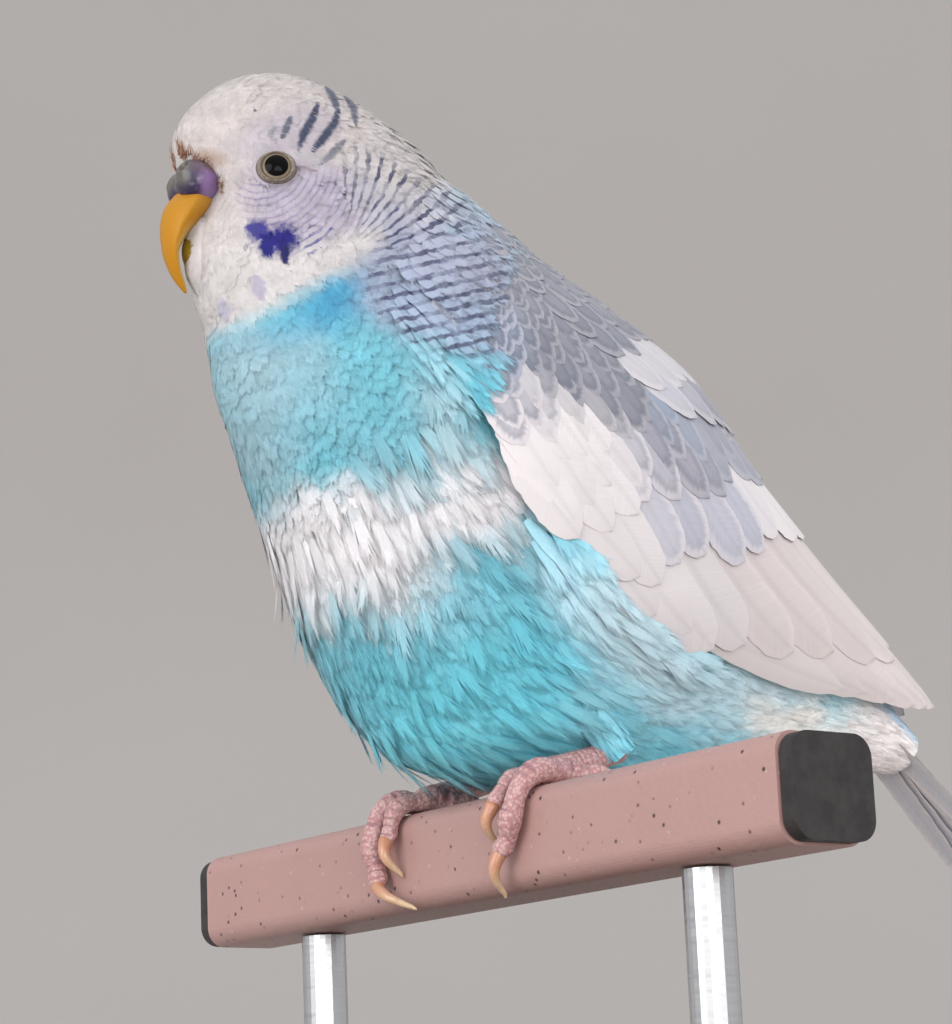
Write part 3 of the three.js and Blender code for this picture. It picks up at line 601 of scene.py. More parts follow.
# Patches of colour in the blue of the body, painted one over another: centre and radii in the side view, turn,
# softness, strength.
PATCHES = [
    (PALE_TURQUOISE, (-3, -25), (8, 4), 10, 0.8, 0.8),
    (PALE_TURQUOISE, (-3, -33), (5, 9), 15, 0.7, 0.8),
    (PALE_TURQUOISE, (6, -27), (6, 6), 0, 0.8, 0.6),
    ((0.50, 0.72, 0.80), (21, -32), (4.5, 9), 25, 0.6, 0.95),
    (SKY, (9.5, -16.5), (5.5, 4.2), 25, 0.6, 0.95),
    (SKY, (5.0, -19.0), (7.0, 2.6), 25, 0.8, 0.5),
    (TURQUOISE, (14, -28), (5, 9), 20, 0.7, 0.7),
    (TURQUOISE, (30, -36), (4, 6), 20, 0.6, 0.8),
    (BAND, (9.5, -48.0), (11.5, 7.0), 12, 0.4, 1.0),
    (BAND, (24, -43.0), (10, 5.2), 18, 0.4, 1.0),
    (BAND, (2, -55), (4.5, 8), 10, 0.5, 0.8),
    (BAND, (16, -54), (6, 4.5), 0, 0.6, 0.8),
    ((0.28, 0.68, 0.82), (22, -57), (7, 5), 20, 0.8, 0.8),
    # Painted light: a brighter, stronger blue over the lower belly by the rail, where the coat lies in shade.
    ((0.20, 0.74, 0.87), (25, -75), (16, 5), 5, 0.6, 0.9),
    # Partly painted light: the flank's own pale blue, made brighter where the wing shades it.
    (PALE_FLANK, (46, -59), (12, 6), -40, 0.6, 1.0),
    (PALE_FLANK, (52, -68), (9, 5), -25, 0.6, 0.8),
    ((0.34, 0.72, 0.82), (42, -72), (6, 6), -10, 0.7, 0.6),
    (DEEP_TURQUOISE, (27, -67), (12, 7), 0, 0.8, 0.5),
    (TURQUOISE, (64, -67), (8, 4.5), -25, 0.6, 0.9),
    # The vent under the wing is blended towards white: partly its own pale colour, partly painted light where
    # the wing shades it.
    (BAND, (64, -68), (9, 4), -25, 0.6, 0.5),
    (CREAM, (67, -73), (8, 3.5), -15, 0.5, 0.8),
    (CREAM, (86, -77), (16, 12), 0, 0.4, 0.9),
]
HEAD_PATCHES = [
    ((0.64, 0.58, 0.565), (0.0, 7.0), (24.0, 15.0), 0, 0.5, 1.0),
    ((0.40, 0.43, 0.55), (21.0, -14.5), (11.0, 8.5), -18, 0.3, 1.0),
    (NECK_BLUE, (14.5, -17.0), (4.0, 4.5), 0, 0.8, 0.5),
    (NECK_BLUE, (26.0, -21.0), (10.0, 4.0), -20, 0.8, 0.6),
    (NECK_GREY, (15.5, -4.5), (7.5, 6.0), -25, 0.35, 0.4),
    (LILAC, (3.5, -4.0), (7.5, 5.0), -10, 0.4, 0.9),
    (LILAC, (1.5, 4.0), (6.5, 3.2), 20, 0.6, 0.6),
    ((0.68, 0.63, 0.62), (17.5, 2.8), (6.0, 6.0), -45, 0.3, 1.0),
    (WHITE, (10.3, -9.6), (3.4, 1.7), 20, 0.4, 0.9),
    (RUST, (-8.6, 1.2), (2.0, 0.9), -20, 0.6, 0.45),
]
# Single strokes and spots of the head: the line that each follows, its width, its ink and its strength.
STROKES = [
    ([(1.95, 6.5), (1.4, 5.1), (0.65, 3.6)], 0.72, SLATE, 0.9),
    ([(-0.1, 5.3), (-1.1, 4.0)], 0.55, SLATE, 0.6),
    ([(5.45, 8.2), (4.8, 6.4), (3.6, 4.3), (3.0, 2.4)], 0.90, SLATE, 1.0),
    ([(8.1, 7.4), (7.6, 5.7), (6.2, 3.8), (4.8, 2.1)], 0.92, SLATE, 1.0),
    ([(6.5, 10.4), (7.6, 8.8), (7.9, 7.6)], 0.80, SLATE, 0.95),
    ([(9.0, 9.2), (10.1, 7.6), (10.4, 5.5)], 0.72, SLATE, 0.9),
    ([(8.9, 3.4), (7.6, 2.1), (6.0, 0.5)], 0.80, SLATE, 0.75),
    ([(-2.6, -14.4), (-2.2, -15.6), (-1.9, -16.9)], 1.5, (0.30, 0.27, 0.40), 0.7),
    ([(-7.1, -17.4), (-6.7, -18.6), (-6.4, -19.8)], 1.4, (0.34, 0.33, 0.46), 0.6),
    ([(3.6, 1.4), (2.4, 1.8)], 0.45, SLATE, 0.45),
    ([(4.6, 0.0), (6.0, 1.3)], 0.45, SLATE, 0.45),
    ([(2.9, 0.2), (4.4, -0.4), (5.4, -0.5)], 0.38, (0.16, 0.10, 0.13), 0.75),
    ([(-3.4, -7.9), (-2.4, -8.2), (-1.4, -8.5)], 2.1, (0.05, 0.045, 0.24), 1.0),
    ([(-1.9, -8.8), (-0.4, -9.5), (1.0, -9.4)], 1.9, CHEEK, 1.0),
    ([(-1.2, -9.2), (-1.1, -10.3), (-0.9, -11.4)], 1.9, CHEEK, 1.0),
    ([(0.0, -9.7), (0.9, -9.4), (1.9, -9.1)], 3.0, CHEEK, 1.0),
    ([(0.9, -9.6), (1.2, -10.8), (1.2, -12.3)], 1.3, (0.01, 0.012, 0.10), 1.0),
    ([(-3.9, -9.8), (-4.0, -10.9)], 0.4, SLATE, 0.5),
    ([(-2.75, 7.5), (-2.7, 7.2)], 0.4, SLATE, 0.8),
]


def strokes_at(view):
    """The single strokes at points of the side view: 3 on a stroke's edge, up to 4 inside it and down to 0
    outside it, and the ink of the nearest one."""
    inside = np.zeros(view.shape[:-1])
    colour = np.broadcast_to(np.array(WHITE), view.shape[:-1] + (3,)).copy()
    for line, width, ink, strength in STROKES:
        line = np.array(line)
        parts = len(line) - 1
        for k, (a, b) in enumerate(zip(line, line[1:])):
            way = b - a
            share = np.clip(((view - a) @ way) / (way @ way), 0, 1)
            away = np.linalg.norm(view - a - share[..., None] * way, axis=-1)
            along = (k + share) / parts
            half = width / 2 * (0.45 + 0.75 * np.sin(np.pi * np.clip(along, 0.02, 0.98)) ** 0.7)
            near = np.clip(4 - away / half, 0, 4)
            colour = np.where((near > inside)[..., None], mix(WHITE, ink, strength), colour)
            inside = np.maximum(inside, near)
    return inside, colour


def ground_colour(points, rib, angle):
    """The coat's colour at points of the body, with painted light and shade in it."""
    view = side_points(points, rib)
    ragged = smooth(rib, 4.5, 8.0)[..., None]
    view = view + (0.1 + 0.8 * ragged) * np.stack([waves(points, 9, 1), waves(points, 7, 2)], -1)
    view = view + (0.12 + 0.4 * ragged) * np.stack([waves(points, 2.6, 3), waves(points, 2.2, 4)], -1)
    colour = np.broadcast_to(np.array(WHITE), points.shape).copy()
    blue = below_line(view, (-9, -22.3), (14, -11.4), 1.6)
    blue = blue * (1 - smooth(rib, 14.2, 15.4))
    base = mix(TURQUOISE, PALE_TURQUOISE, smooth(waves(points, 14, 5), -0.2, 1.2) * 0.5)
    colour = mix(colour, base, blue)
    for paint, centre, radii, turn, soft, strength in PATCHES:
        colour = mix(colour, paint, blue * strength * blob(view, centre, radii, turn, soft))
    back = smooth(rib, 6.6, 7.6) * (1 - smooth(np.abs(angle), 0.9, 1.25))
    colour = mix(colour, (0.36, 0.39, 0.46), back)
    rump = smooth(rib, 9.0, 10.5) * (1 - smooth(np.abs(angle), 0.8, 1.2))
    colour = mix(colour, (0.45, 0.64, 0.76), rump * 0.8)
    for paint, centre, radii, turn, soft, strength in HEAD_PATCHES:
        colour = mix(colour, paint, strength * blob(view, centre, radii, turn, soft))
    # This factor scales the colour. It holds an even 0.85 and a small random tone. It adds painted shade that
    # darkens the upper breast a little, and painted light that makes the body much brighter from the belly
    # down, where it lies in shade.
    upper = smooth(rib, 6.4, 7.6) * (1 - smooth(rib, 9.0, 10.5))
    light = 0.85 + 0.05 * waves(points, 4, 6) - 0.05 * upper + 0.75 * smooth(rib, 9.0, 12.5)
    light = np.minimum(light, 0.97 / colour.max(-1))
    return colour * light[..., None]


def ring_family(view, centre, pitch):
    x, y = view[..., 0] - centre[0], view[..., 1] - centre[1]
    away = np.hypot(x, y)
    flow = np.stack([x, y], -1) / np.maximum(away, 0.3)[..., None]
    return away / pitch, flow


def fan_family(view, centre, pitch_degrees):
    """Bars that run out from a centre, leaning forwards a little as they go."""
    x, y = view[..., 0] - centre[0], view[..., 1] - centre[1]
    away = np.hypot(x, y)
    flow = np.stack([y, -x], -1) / np.maximum(away, 0.3)[..., None]
    return (np.degrees(np.arctan2(x, y)) + 1.1 * (away - 9)) / pitch_degrees, flow


def line_family(view, slope_degrees, pitch):
    a = np.radians(slope_degrees)
    down = np.array([np.sin(a), -np.cos(a)])
    return view @ down / pitch, np.broadcast_to(down, view.shape)


def fan_mask(view):
    """The fan on the neck's side, under the white nape."""
    inside = blob(view, (16.5, -4.2), (9.2, 6.2), -35, 0.2)
    return inside * below_line(view, (12.2, 2.4), (25.2, -5.4), 0.5)


# Families of dark bars in the side view: fine lines under the eye, a fan on the neck's side and level bars
# below that. Each gives its phase and the way that the feathers lie there.
FAMILIES = [
    dict(ink=FINE_LILAC, strength=0.75, field=lambda v: ring_family(v, (-2.3, 1.2), 0.86),
         mask=lambda v: blob(v, (3.6, -4.3), (8.6, 4.6), -8, 0.25)),
    dict(ink=(0.05, 0.06, 0.26), strength=0.8, field=lambda v: ring_family(v, (-2.3, 1.2), 1.0),
         mask=lambda v: blob(v, (4.6, -9.2), (3.4, 1.3), 28, 0.3)),
    dict(ink=VIOLET_SLATE, strength=0.97, field=lambda v: fan_family(v, (7.5, -11.4), 7.6), mask=fan_mask),
    dict(ink=VIOLET_SLATE, strength=0.92, field=lambda v: line_family(v, 12, 1.6),
         mask=lambda v: np.maximum(blob(v, (21.0, -15.5), (9.6, 7.4), -25, 0.2),
                                   0.7 * blob(v, (31.0, -18.0), (7.0, 4.0), -30, 0.3))),
]


def barring(points, rib, at_root=None):
    """Phase, strength and ink of the dark bars, and the way that feathers lie, in the side view. The family
    is chosen at each feather's own place, so that a feather holds one family's bars."""
    view = side_points(points, rib)
    own = view if at_root is None else at_root
    masks = np.stack([f["strength"] * f["mask"](own) for f in FAMILIES])
    best = masks.argmax(0)
    strength = masks.max(0)
    phase = np.zeros(view.shape[:-1])
    flow = np.zeros(view.shape)
    ink = np.zeros(view.shape[:-1] + (3,))
    for index, family in enumerate(FAMILIES):
        chosen = np.broadcast_to(best == index, phase.shape)
        turns, way = family["field"](view)
        phase = np.where(chosen, turns, phase)
        flow = np.where(chosen[..., None], way, flow)
        ink = np.where(chosen[..., None], np.array(family["ink"]), ink)
    return phase, np.broadcast_to(strength, phase.shape), ink, flow


# Coat

# A feather's web: how far along it each row lies and its half width, as shares.
WEB = [(0.15, 0.30), (0.30, 0.58), (0.43, 0.72), (0.54, 0.74), (0.64, 0.70), (0.73, 0.58), (0.81, 0.42),
       (0.90, 0.10)]


def barb_template(length, width, pairs, thick, sweep, start, seed, segments=2, slim=0.0):
    """A small feather in millimetres: a thin web and, just over it, barbs that sweep out from the shaft. Gives
    points along, left and up, their faces, and a shade and a sideways lean for each point."""
    draw = np.random.default_rng(seed)
    points, shades, leans = [], [], []
    for share, half in WEB:
        for side in (-1, 0, 1):
            points.append((share * length, side * half * width / 2 * (1 - slim * share), -0.05))
            shades.append(0.97)
            leans.append(0.12 * side)
    faces = [face for a, b, c, d in grid_faces(len(WEB), 3) for face in ((a, d, c), (a, c, b))]
    gap = (0.97 - start) / pairs
    for k in range(pairs):
        for side in (-1, 1):
            begin = length * (start + gap * (k + 0.5 * (side > 0) + draw.uniform(-0.3, 0.3)))
            lean = math.tan(math.radians(sweep * draw.uniform(0.75, 1.25)))
            reach = min(width / 2 * draw.uniform(0.75, 1.1) / lean, length * draw.uniform(0.86, 1.07) - begin)
            if reach < 0.06 * length:
                continue
            way = np.array([reach, side * reach * lean])
            shade, up = draw.uniform(0.91, 1.05), draw.uniform(-0.015, 0.015)
            beside = np.array([-way[1], way[0]]) / np.linalg.norm(way) * thick * draw.uniform(0.8, 1.2)
            first = len(points)
            for j in range(segments + 1):
                part = j / segments
                middle = np.array([begin + way[0] * part, way[1] * part ** 0.85])
                rise = up + 0.02 * math.sin(math.pi * part)
                half = beside * (1 - part) ** 0.5 / 2
                # The last ring is the barb's single tip.
                for lean_side in ((0,) if j == segments else (-1, 1)):
                    points.append((*(middle + lean_side * half), rise))
                    leans.append(0.12 * lean_side)
            for a in range(first, first + 2 * segments - 2, 2):
                faces += [(a, a + 2, a + 3), (a, a + 3, a + 1)]
            tip = first + 2 * segments
            faces.append((tip - 2, tip, tip - 1))
            shades += [shade] * (2 * segments + 1)
    return np.array(points), np.array(faces), np.array(shades), np.array(leans)


# Kinds of small feather, each with its own length and width in millimetres.
KINDS = {
    "face": dict(length=2.4, width=1.5, pairs=5, thick=0.17, sweep=20, start=0.3, segments=3),
    "crown": dict(length=3.2, width=2.0, pairs=7, thick=0.18, sweep=20, start=0.32, segments=3),
    "neck": dict(length=4.2, width=2.5, pairs=8, thick=0.20, sweep=20, start=0.32),
    "breast": dict(length=8.6, width=2.5, pairs=11, thick=0.24, sweep=9, start=0.26, slim=0.45),
    "plume": dict(length=12.5, width=3.0, pairs=14, thick=0.24, sweep=8, start=0.26, slim=0.5),
}
# How strongly a kind's own relief shows in its shading.
RELIEF = {"face": 0.15, "crown": 0.18, "neck": 0.35, "breast": 0.4, "plume": 0.5}
TEMPLATES = {}
for number, (kind, shape) in enumerate(KINDS.items()):
    TEMPLATES[kind] = [barb_template(seed=100 * number + i, **shape) for i in range(6)]


def markings(points, rib, at_root=None):
    """The bars and strokes that the feathers' material reads, at points of the body."""
    phase, strength, ink, _ = barring(points, rib, at_root)
    stroke, stroke_ink = strokes_at(side_points(points, rib))
    return dict(phase=phase, barred=strength, ink=ink, stroke=stroke, stroke_ink=stroke_ink)


def coat_depth(rib):
    """How far the skin lies under the coat's outer surface."""
    return 1.2 - 0.66 * (1 - smooth(rib, 4.8, 8.0)) - 0.34 * (1 - smooth(rib, 1.0, 5.0))


def coat_spacing(rib):
    return 1.0 - 0.28 * (1 - smooth(rib, 5.2, 8.5)) - 0.20 * (1 - smooth(rib, 1.0, 5.0))


def scatter(surface, low, high, spacing_of, seed, keep):
    """Places spread evenly over a surface, as far apart as spacing_of says: ribs and angles."""
    draw = np.random.default_rng(seed)
    area = np.linalg.norm(np.cross(surface.along, surface.around), axis=-1)
    rows = (surface.ribs >= low) & (surface.ribs < high)
    weights = area * rows[:, None]
    weights[:, -1] = 0
    weights = weights.ravel() / weights.sum()
    total = area[rows].sum() * surface.RIB_STEP * surface.turn_step
    least = float(np.min(spacing_of(surface.ribs[rows])))
    tries = int(total * 5 / least**2)
    picks = draw.choice(len(weights), tries, p=weights)
    rib = surface.ribs[picks // len(surface.angles)] + draw.uniform(0, surface.RIB_STEP, tries)
    angle = surface.angles[picks % len(surface.angles)] + draw.uniform(0, surface.turn_step, tries)
    points = surface.at(rib, angle)
    wanted = keep(rib, angle, points)
    rib, angle, points = rib[wanted], angle[wanted], points[wanted]
    spacing = spacing_of(rib)
    cells = np.floor(points / float(spacing.max())).astype(int).tolist()
    around_cell = [(i, j, k) for i in (-1, 0, 1) for j in (-1, 0, 1) for k in (-1, 0, 1)]
    taken, kept = {}, []
    for n, ((x, y, z), (i, j, k), gap) in enumerate(zip(points.tolist(), cells, spacing.tolist())):
        near = [p for di, dj, dk in around_cell for p in taken.get((i + di, j + dj, k + dk), ())]
        if all((x - px) ** 2 + (y - py) ** 2 + (z - pz) ** 2 >= gap * gap for px, py, pz in near):
            taken.setdefault((i, j, k), []).append((x, y, z))
            kept.append(n)
    return rib[kept], angle[kept]


def flow_on(surface, rib, angle, view_flow, strength):
    """The way that feathers lie: down the ribs, turned to the side view's flow where the bars have one."""
    normal = unit(surface.look_up(surface.normals, rib, angle))
    base = unit(surface.look_up(surface.along, rib, angle))
    _, _, right, up = camera_axes()
    way = view_flow[..., :1] * turn_z(right, BODY_YAW) + view_flow[..., 1:] * turn_z(up, BODY_YAW)
    mirror = np.where(surface.look_up(surface.plain, rib, angle)[..., :1] < 0, [-1.0, 1.0, 1.0], 1.0)
    share = 1 - smooth(rib, TWIST["start"], TWIST["end"])
    way = turn_z(turn_z(way, HEAD_YAW * share) * mirror, -HEAD_YAW * share)
    way = way - normal * (way * normal).sum(-1, keepdims=True)
    flow = unit(base * (1 - strength[..., None]) + unit(way) * strength[..., None])
    flow = unit(flow - normal * (flow * normal).sum(-1, keepdims=True))
    return flow, np.cross(normal, flow)


# Size of a feather's patch on the coat's map; how far along it a feather's own colour and place are read; and
# the share of its colour that follows the coat under each of its points.
PATCH = 0.003
READ_AT = 0.72
LOCAL_COLOUR = 0.45


def coat(name, surface, rib, angle, kind, depth, flow, side, material, slot, mark_rib=None, lift=0.25, size=1.0,
         stray=7.0, proud=0.0, wander=0.0, under_side=False, seed=5):
    """Joined small feathers over a surface. Their shading follows the surface, softened, so that barbs read as
    fine lines. mark_rib stands in for the rib where the surface isn't the body's own, and under_side keeps the
    back's colours off it."""

    def marked(ribs):
        return np.clip(ribs, 0, len(RIBS) - 1.0) if mark_rib is None else np.full(ribs.shape, mark_rib)

    def coloured(points, ribs, angles):
        return ground_colour(points, marked(ribs), np.abs(angles) + (np.pi if under_side else 0.0))

    draw = np.random.default_rng(seed)
    count = len(rib)
    scale = size * draw.uniform(0.85, 1.2, count)
    yaw = np.radians(draw.normal(0, stray, count))[:, None]
    ahead = flow * np.cos(yaw) + side * np.sin(yaw)
    beside = side * np.cos(yaw) - flow * np.sin(yaw)
    du, da = surface.steps(rib, angle, ahead)
    su, sa = surface.steps(rib, angle, beside)
    tip_lift = draw.uniform(-0.2, 1.0, count) ** 3 * lift
    relief = RELIEF[kind]
    layer = (proud(rib, angle) if callable(proud) else proud) + 0.04 * relief * draw.uniform(-1, 1, count)
    templates = TEMPLATES[kind]
    long, wide = KINDS[kind]["length"], KINDS[kind]["width"]
    which = draw.integers(0, len(templates), count)
    tone = 1 + (0.02 + 0.04 * (wander > 0)) * draw.uniform(-1.3, 1, count)
    # A feather's own colour is the coat's colour where its outer half lies.
    reach = READ_AT * long * scale - wander * draw.uniform(0, 2, count)
    seen_rib, seen_angle = rib + du * reach, angle + da * reach
    seen = surface.at(seen_rib, seen_angle)
    own_colour = coloured(seen, seen_rib, seen_angle)
    own_view = side_points(seen, marked(seen_rib))
    pieces, all_faces, first = [], [], 0
    for index, (points, faces, barb_shades, leans) in enumerate(templates):
        chosen = np.flatnonzero(which == index)
        if not len(chosen):
            continue
        row = (chosen, None)
        ahead_mm, side_mm = points[:, 0] * scale[row], points[:, 1] * scale[row]
        a = np.clip(points[:, 0] / long, 0, 1.1)
        b = points[:, 1] / wide * 2
        ribs = rib[row] + du[row] * ahead_mm + su[row] * side_mm
        angles = angle[row] + da[row] * ahead_mm + sa[row] * side_mm
        under = depth[row] * (1 - np.minimum(a, 1)) ** (2.4 - 1.5 * relief) + 0.03 * relief * wide * a * b**2
        height = (0.3 + 0.7 * relief) * points[:, 2] - under + layer[row] + tip_lift[row] * a**3
        placed = surface.at(ribs, angles, height)
        lean = relief * (leans + 0.16 * b)[None, :, None] * beside[row]
        droop = relief * (0.28 * smooth(a, 0.75, 1.05) - 0.3 * np.minimum(tip_lift, 0.3)[row])
        forwards = droop[..., None] * ahead[row]
        normals = unit(unit(surface.look_up(surface.normals, ribs, angles)) + lean + forwards)
        near = coloured(placed, ribs, angles)
        values = markings(placed, marked(ribs), own_view[row])
        values["ground"] = mix(own_colour[row] + 0 * near, near, np.full(near.shape[:-1], LOCAL_COLOUR))
        # Each point's shade is a random tone per barb and per feather. It also holds painted shade that darkens
        # each feather towards its root, where other feathers cover it.
        values["shade"] = barb_shades**relief * tone[row] * (1 - 0.16 * relief * (1 - a))
        uv = [angle[row] / (2 * np.pi) + 0.5 + PATCH * 0.45 * b, rib[row] / len(RIBS) + PATCH * (a - 0.5)]
        values.update(points=placed, normals=normals, uv=np.stack(uv, -1))
        starts = first + np.arange(len(chosen)) * len(points)
        first += len(points) * len(chosen)
        all_faces.append((starts[:, None, None] + faces).reshape(-1, 3))
        total = len(points) * len(chosen)
        pieces.append({key: np.reshape(value, (total, -1)) for key, value in values.items()})
    joined = {key: np.concatenate([piece[key] for piece in pieces]) for key in pieces[0]}
    points, normals, uv = (joined.pop(key) for key in ("points", "normals", "uv"))
    make_object(name, points, np.concatenate(all_faces), material, slot, values=joined, uv=uv, normals=normals)


def inside_bill(forward, left, up):
    rows = np.interp(-up, [-cut[0] for cut in BILL_UPPER], range(len(BILL_UPPER)))
    row = catmull_rom(BILL_UPPER, rows)
    return (np.abs(left) < row[..., 3] * 0.72) & (forward > row[..., 2] + 0.6) & (up < 0) & (up > -11)


def eye_centre(side, sink):
    turn, tilt = np.radians(EYE["turn"]), np.radians(EYE["tilt"])
    back = np.cos(tilt) * np.sin(turn) * sink
    out = np.cos(tilt) * np.cos(turn) * sink
    return in_head(-back, side * (EYE["side"] - out), -np.sin(tilt) * sink)





# How far the feathers stay from the middle of the eye, and how far in from the cere's surface they start.
BARE_ROUND_EYE = 2.25
UNDER_CERE = 0.86


def clear_of_face(rib, angle, points):
    """True away from the eyes and from under the cere and the bill."""
    keep = np.ones(len(points), bool)
    for side in (1, -1):
        keep &= np.linalg.norm(points - eye_centre(side, 0.3), axis=-1) > BARE_ROUND_EYE
    forward, left, up = head_place(points)
    for side in (1, -1):
        away = np.sqrt(((forward - CERE["forward"]) / CERE["long"]) ** 2
                       + ((left - side * CERE["apart"]) / CERE["wide"]) ** 2
                       + ((up - CERE["up"]) / CERE["high"]) ** 2)
        keep &= away > UNDER_CERE
    return keep & ~inside_bill(forward, left, up) & ~(rib < 0.12)


def lay(name, surface, low, high, kind, slot, material, seed, keep=clear_of_face, spacing=coat_spacing,
        depth=coat_depth, mark_rib=None, **options):
    rib, angle = scatter(surface, low, high, spacing, seed, keep)
    own = rib if mark_rib is None else np.full(len(rib), mark_rib)
    _, strength, _, view_flow = barring(surface.at(rib, angle), own)
    turn = np.clip(strength * 1.6, 0, 1) if surface is body else np.zeros(len(rib))
    flow, side = flow_on(surface, rib, angle, view_flow, turn)
    coat(name, surface, rib, angle, kind, depth(own), flow, side, material, slot, mark_rib=mark_rib, seed=seed,
         **options)


def skin(name, surface, rib_step, around, sink, material, slot, replaces, mark_rib=None, under_side=False):
    """A closed skin inside the coat."""
    ribs = np.arange(0, surface.ribs[-1] + 0.01, rib_step)
    angles = np.linspace(-np.pi, np.pi, around + 1)[:-1]
    rib, angle = np.meshgrid(ribs, angles, indexing="ij")
    rings = surface.at(rib, angle, -sink(rib))
    rib, angle, points = rib.ravel(), angle.ravel(), rings.reshape(-1, 3)
    mark = rib if mark_rib is None else np.full(rib.size, mark_rib)
    values = markings(points, mark)
    values["ground"] = ground_colour(points, mark, np.abs(angle) + (np.pi if under_side else 0.0))
    # Painted shade: the skin, seen in gaps between feathers, takes the coat's colours darkened to nine tenths.
    values["shade"] = np.full(len(points), 0.9)
    uv = np.stack([angle / (2 * np.pi) + 0.5, rib / len(RIBS)], -1)
    make_object(name, np.concatenate([points, [rings[0].mean(0), rings[-1].mean(0)]]),
                closed_faces(len(ribs), around, inside_out=True), material, slot, replaces=replaces,
                values={key: with_ends(value) for key, value in values.items()}, uv=with_ends(uv))


def everywhere(rib, angle, points):
    return rib > -1


def under_wing(rib, angle, points):
    """True where the folded wings don't cover the body."""
    a = np.degrees(np.abs(angle))
    return ~((rib > 8.6) & (rib < 12.4) & (a > 48) & (a < 74))


def nape(rib, angle, points):
    return np.abs(angle) < 0.95


def ragged_edge(rib, angle, points):
    """Where plumes stand out a little: the breast's lower edge, and the belly down to the legs."""
    a = np.degrees(np.abs(angle))
    return (a > 118) & ((rib < 8.4) | (rib > 9.7)) & (points[:, 1] < 8)


def shoulder_top(rib, angle, points):
    a = np.degrees(np.abs(angle))
    return (a > 4) & (a < 90)


def shoulder_front(rib, angle, points):
    """The breast's feathers that lie over the wing's front edge."""
    a = np.degrees(np.abs(angle))
    return (a > 74) & (a < 115) & (rib < 1.9 + 0.8 * smooth(a, 76, 98))


def front_height(rib, angle):
    """The wing front's feathers rise out of the breast and lie over the wing's edge."""
    return 1.15 - 3.3 * smooth(np.degrees(np.abs(angle)), 98, 114) - 2.4 * (1 - smooth(rib, 0.6, 1.7))


def shoulder_height(rib, angle):
    a = np.degrees(np.abs(angle))
    upper = (1 - smooth(a, 12, 45)) * (1 - smooth(rib, 1.2, 2.4))
    return 1.15 - 2.2 * (1 - smooth(rib, 0.5, 1.6)) - 1.6 * upper


def flank_height(rib, angle):
    return 0.6 - 1.6 * smooth(np.degrees(np.abs(angle)), 106, 116)


def dress_body():
    plain = feather_material("feathers_body")
    skin("skin_body", body, 0.2, 96, lambda rib: coat_depth(rib) * 0.95, plain, "feathers_blue",
         ("head", "neck", "torso", "rump"))
    lay("coat_face", body, 0.0, 2.8, "face", "feathers_white", plain, 40, lift=0.02, stray=4)
    lay("coat_crown", body, 2.8, 5.0, "crown", "feathers_white", plain, 41, lift=0.04, stray=4)
    lay("coat_neck", body, 5.0, 7.6, "neck", "feathers_barred", plain, 42, lift=0.12, stray=5)
    lay("coat_breast", body, 7.6, 9.6, "breast", "feathers_blue", plain, 43, keep=under_wing, wander=1.6)
    lay("coat_belly", body, 9.6, 12.2, "breast", "feathers_blue", plain, 44, keep=under_wing, wander=1.6,
        spacing=steady(1.1))
    lay("coat_vent", body, 12.2, 16.6, "breast", "feathers_white", plain, 45, wander=1.6)
    lay("plumes_breast", body, 6.8, 12.4, "plume", "feathers_blue", plain, 46, keep=under_wing,
        spacing=steady(2.0), lift=1.1, stray=8, proud=0.06, wander=1.5)
    lay("plumes_nape", body, 5.1, 6.2, "neck", "feathers_white", plain, 53, keep=nape,
        spacing=steady(0.7), lift=0.5, stray=5,
        proud=lambda rib, angle: 0.55 * smooth(rib, 5.1, 6.0) * (1 - smooth(np.abs(angle), 0.5, 0.95)) - 0.1)
    lay("plumes_edge", body, 7.8, 11.6, "plume", "feathers_blue", plain, 52, keep=ragged_edge,
        spacing=steady(1.4), lift=2.6, stray=8, proud=0.06, wander=1.0, size=0.78)
    lay("coat_shoulder", mantle, 0.6, 2.3, "neck", "feathers_barred", plain, 47, keep=shoulder_top,
        spacing=steady(0.9), depth=steady(1.0), mark_rib=10.0, proud=shoulder_height)
    lay("coat_wing_front", mantle, 0.6, 3.8, "breast", "feathers_blue", plain, 49, keep=shoulder_front,
        spacing=steady(0.85), depth=steady(1.2), mark_rib=10.0, proud=front_height,
        size=0.72, wander=1.2)
    lay("plumes_flank", mantle, 4.2, 6.6, "plume", "feathers_blue", plain, 50,
        keep=lambda rib, angle, points: np.abs(np.abs(angle) - math.radians(111)) < math.radians(6),
        spacing=steady(1.2), depth=steady(1.6), mark_rib=11.0, proud=flank_height,
        lift=0.3, wander=2.0, size=0.9)
    chin = Surface(CHIN_RADII, line=(in_head(5.8, 0, -4.0), in_head(5.5, 0, -14.0)))
    skin("skin_chin", chin, 0.25, 40, steady(0.25), plain, "feathers_white", (), mark_rib=1.0)
    lay("coat_chin", chin, 0.0, 3.9, "face", "feathers_white", plain, 51, keep=everywhere,
        spacing=steady(0.55), depth=steady(0.25), mark_rib=1.0, lift=0.02, stray=4)
    for (word, _), surface in zip(SIDES, thighs):
        skin(f"skin_thigh_{word}", surface, 0.25, 32, steady(0.9), plain, "feathers_blue",
             (f"leg_{word}",), mark_rib=10.8, under_side=True)
        lay(f"coat_thigh_{word}", surface, 0.0, 3.3, "breast", "feathers_blue", plain, 48,
            keep=everywhere, spacing=steady(0.8), stray=14, lift=1.0,
            depth=steady(0.8), mark_rib=10.8, size=0.8, wander=1.5, under_side=True)


# Large feathers

# How far in from its edge a vane's reach falls from 1 to 0, as a share of its width, and its size in
# millimetres: its thickness and how high its shaft stands.
FRINGE = 0.55
VANE = dict(thick=0.06, shaft=0.05)
SMALL_VANE = dict(rows=16, columns=9)


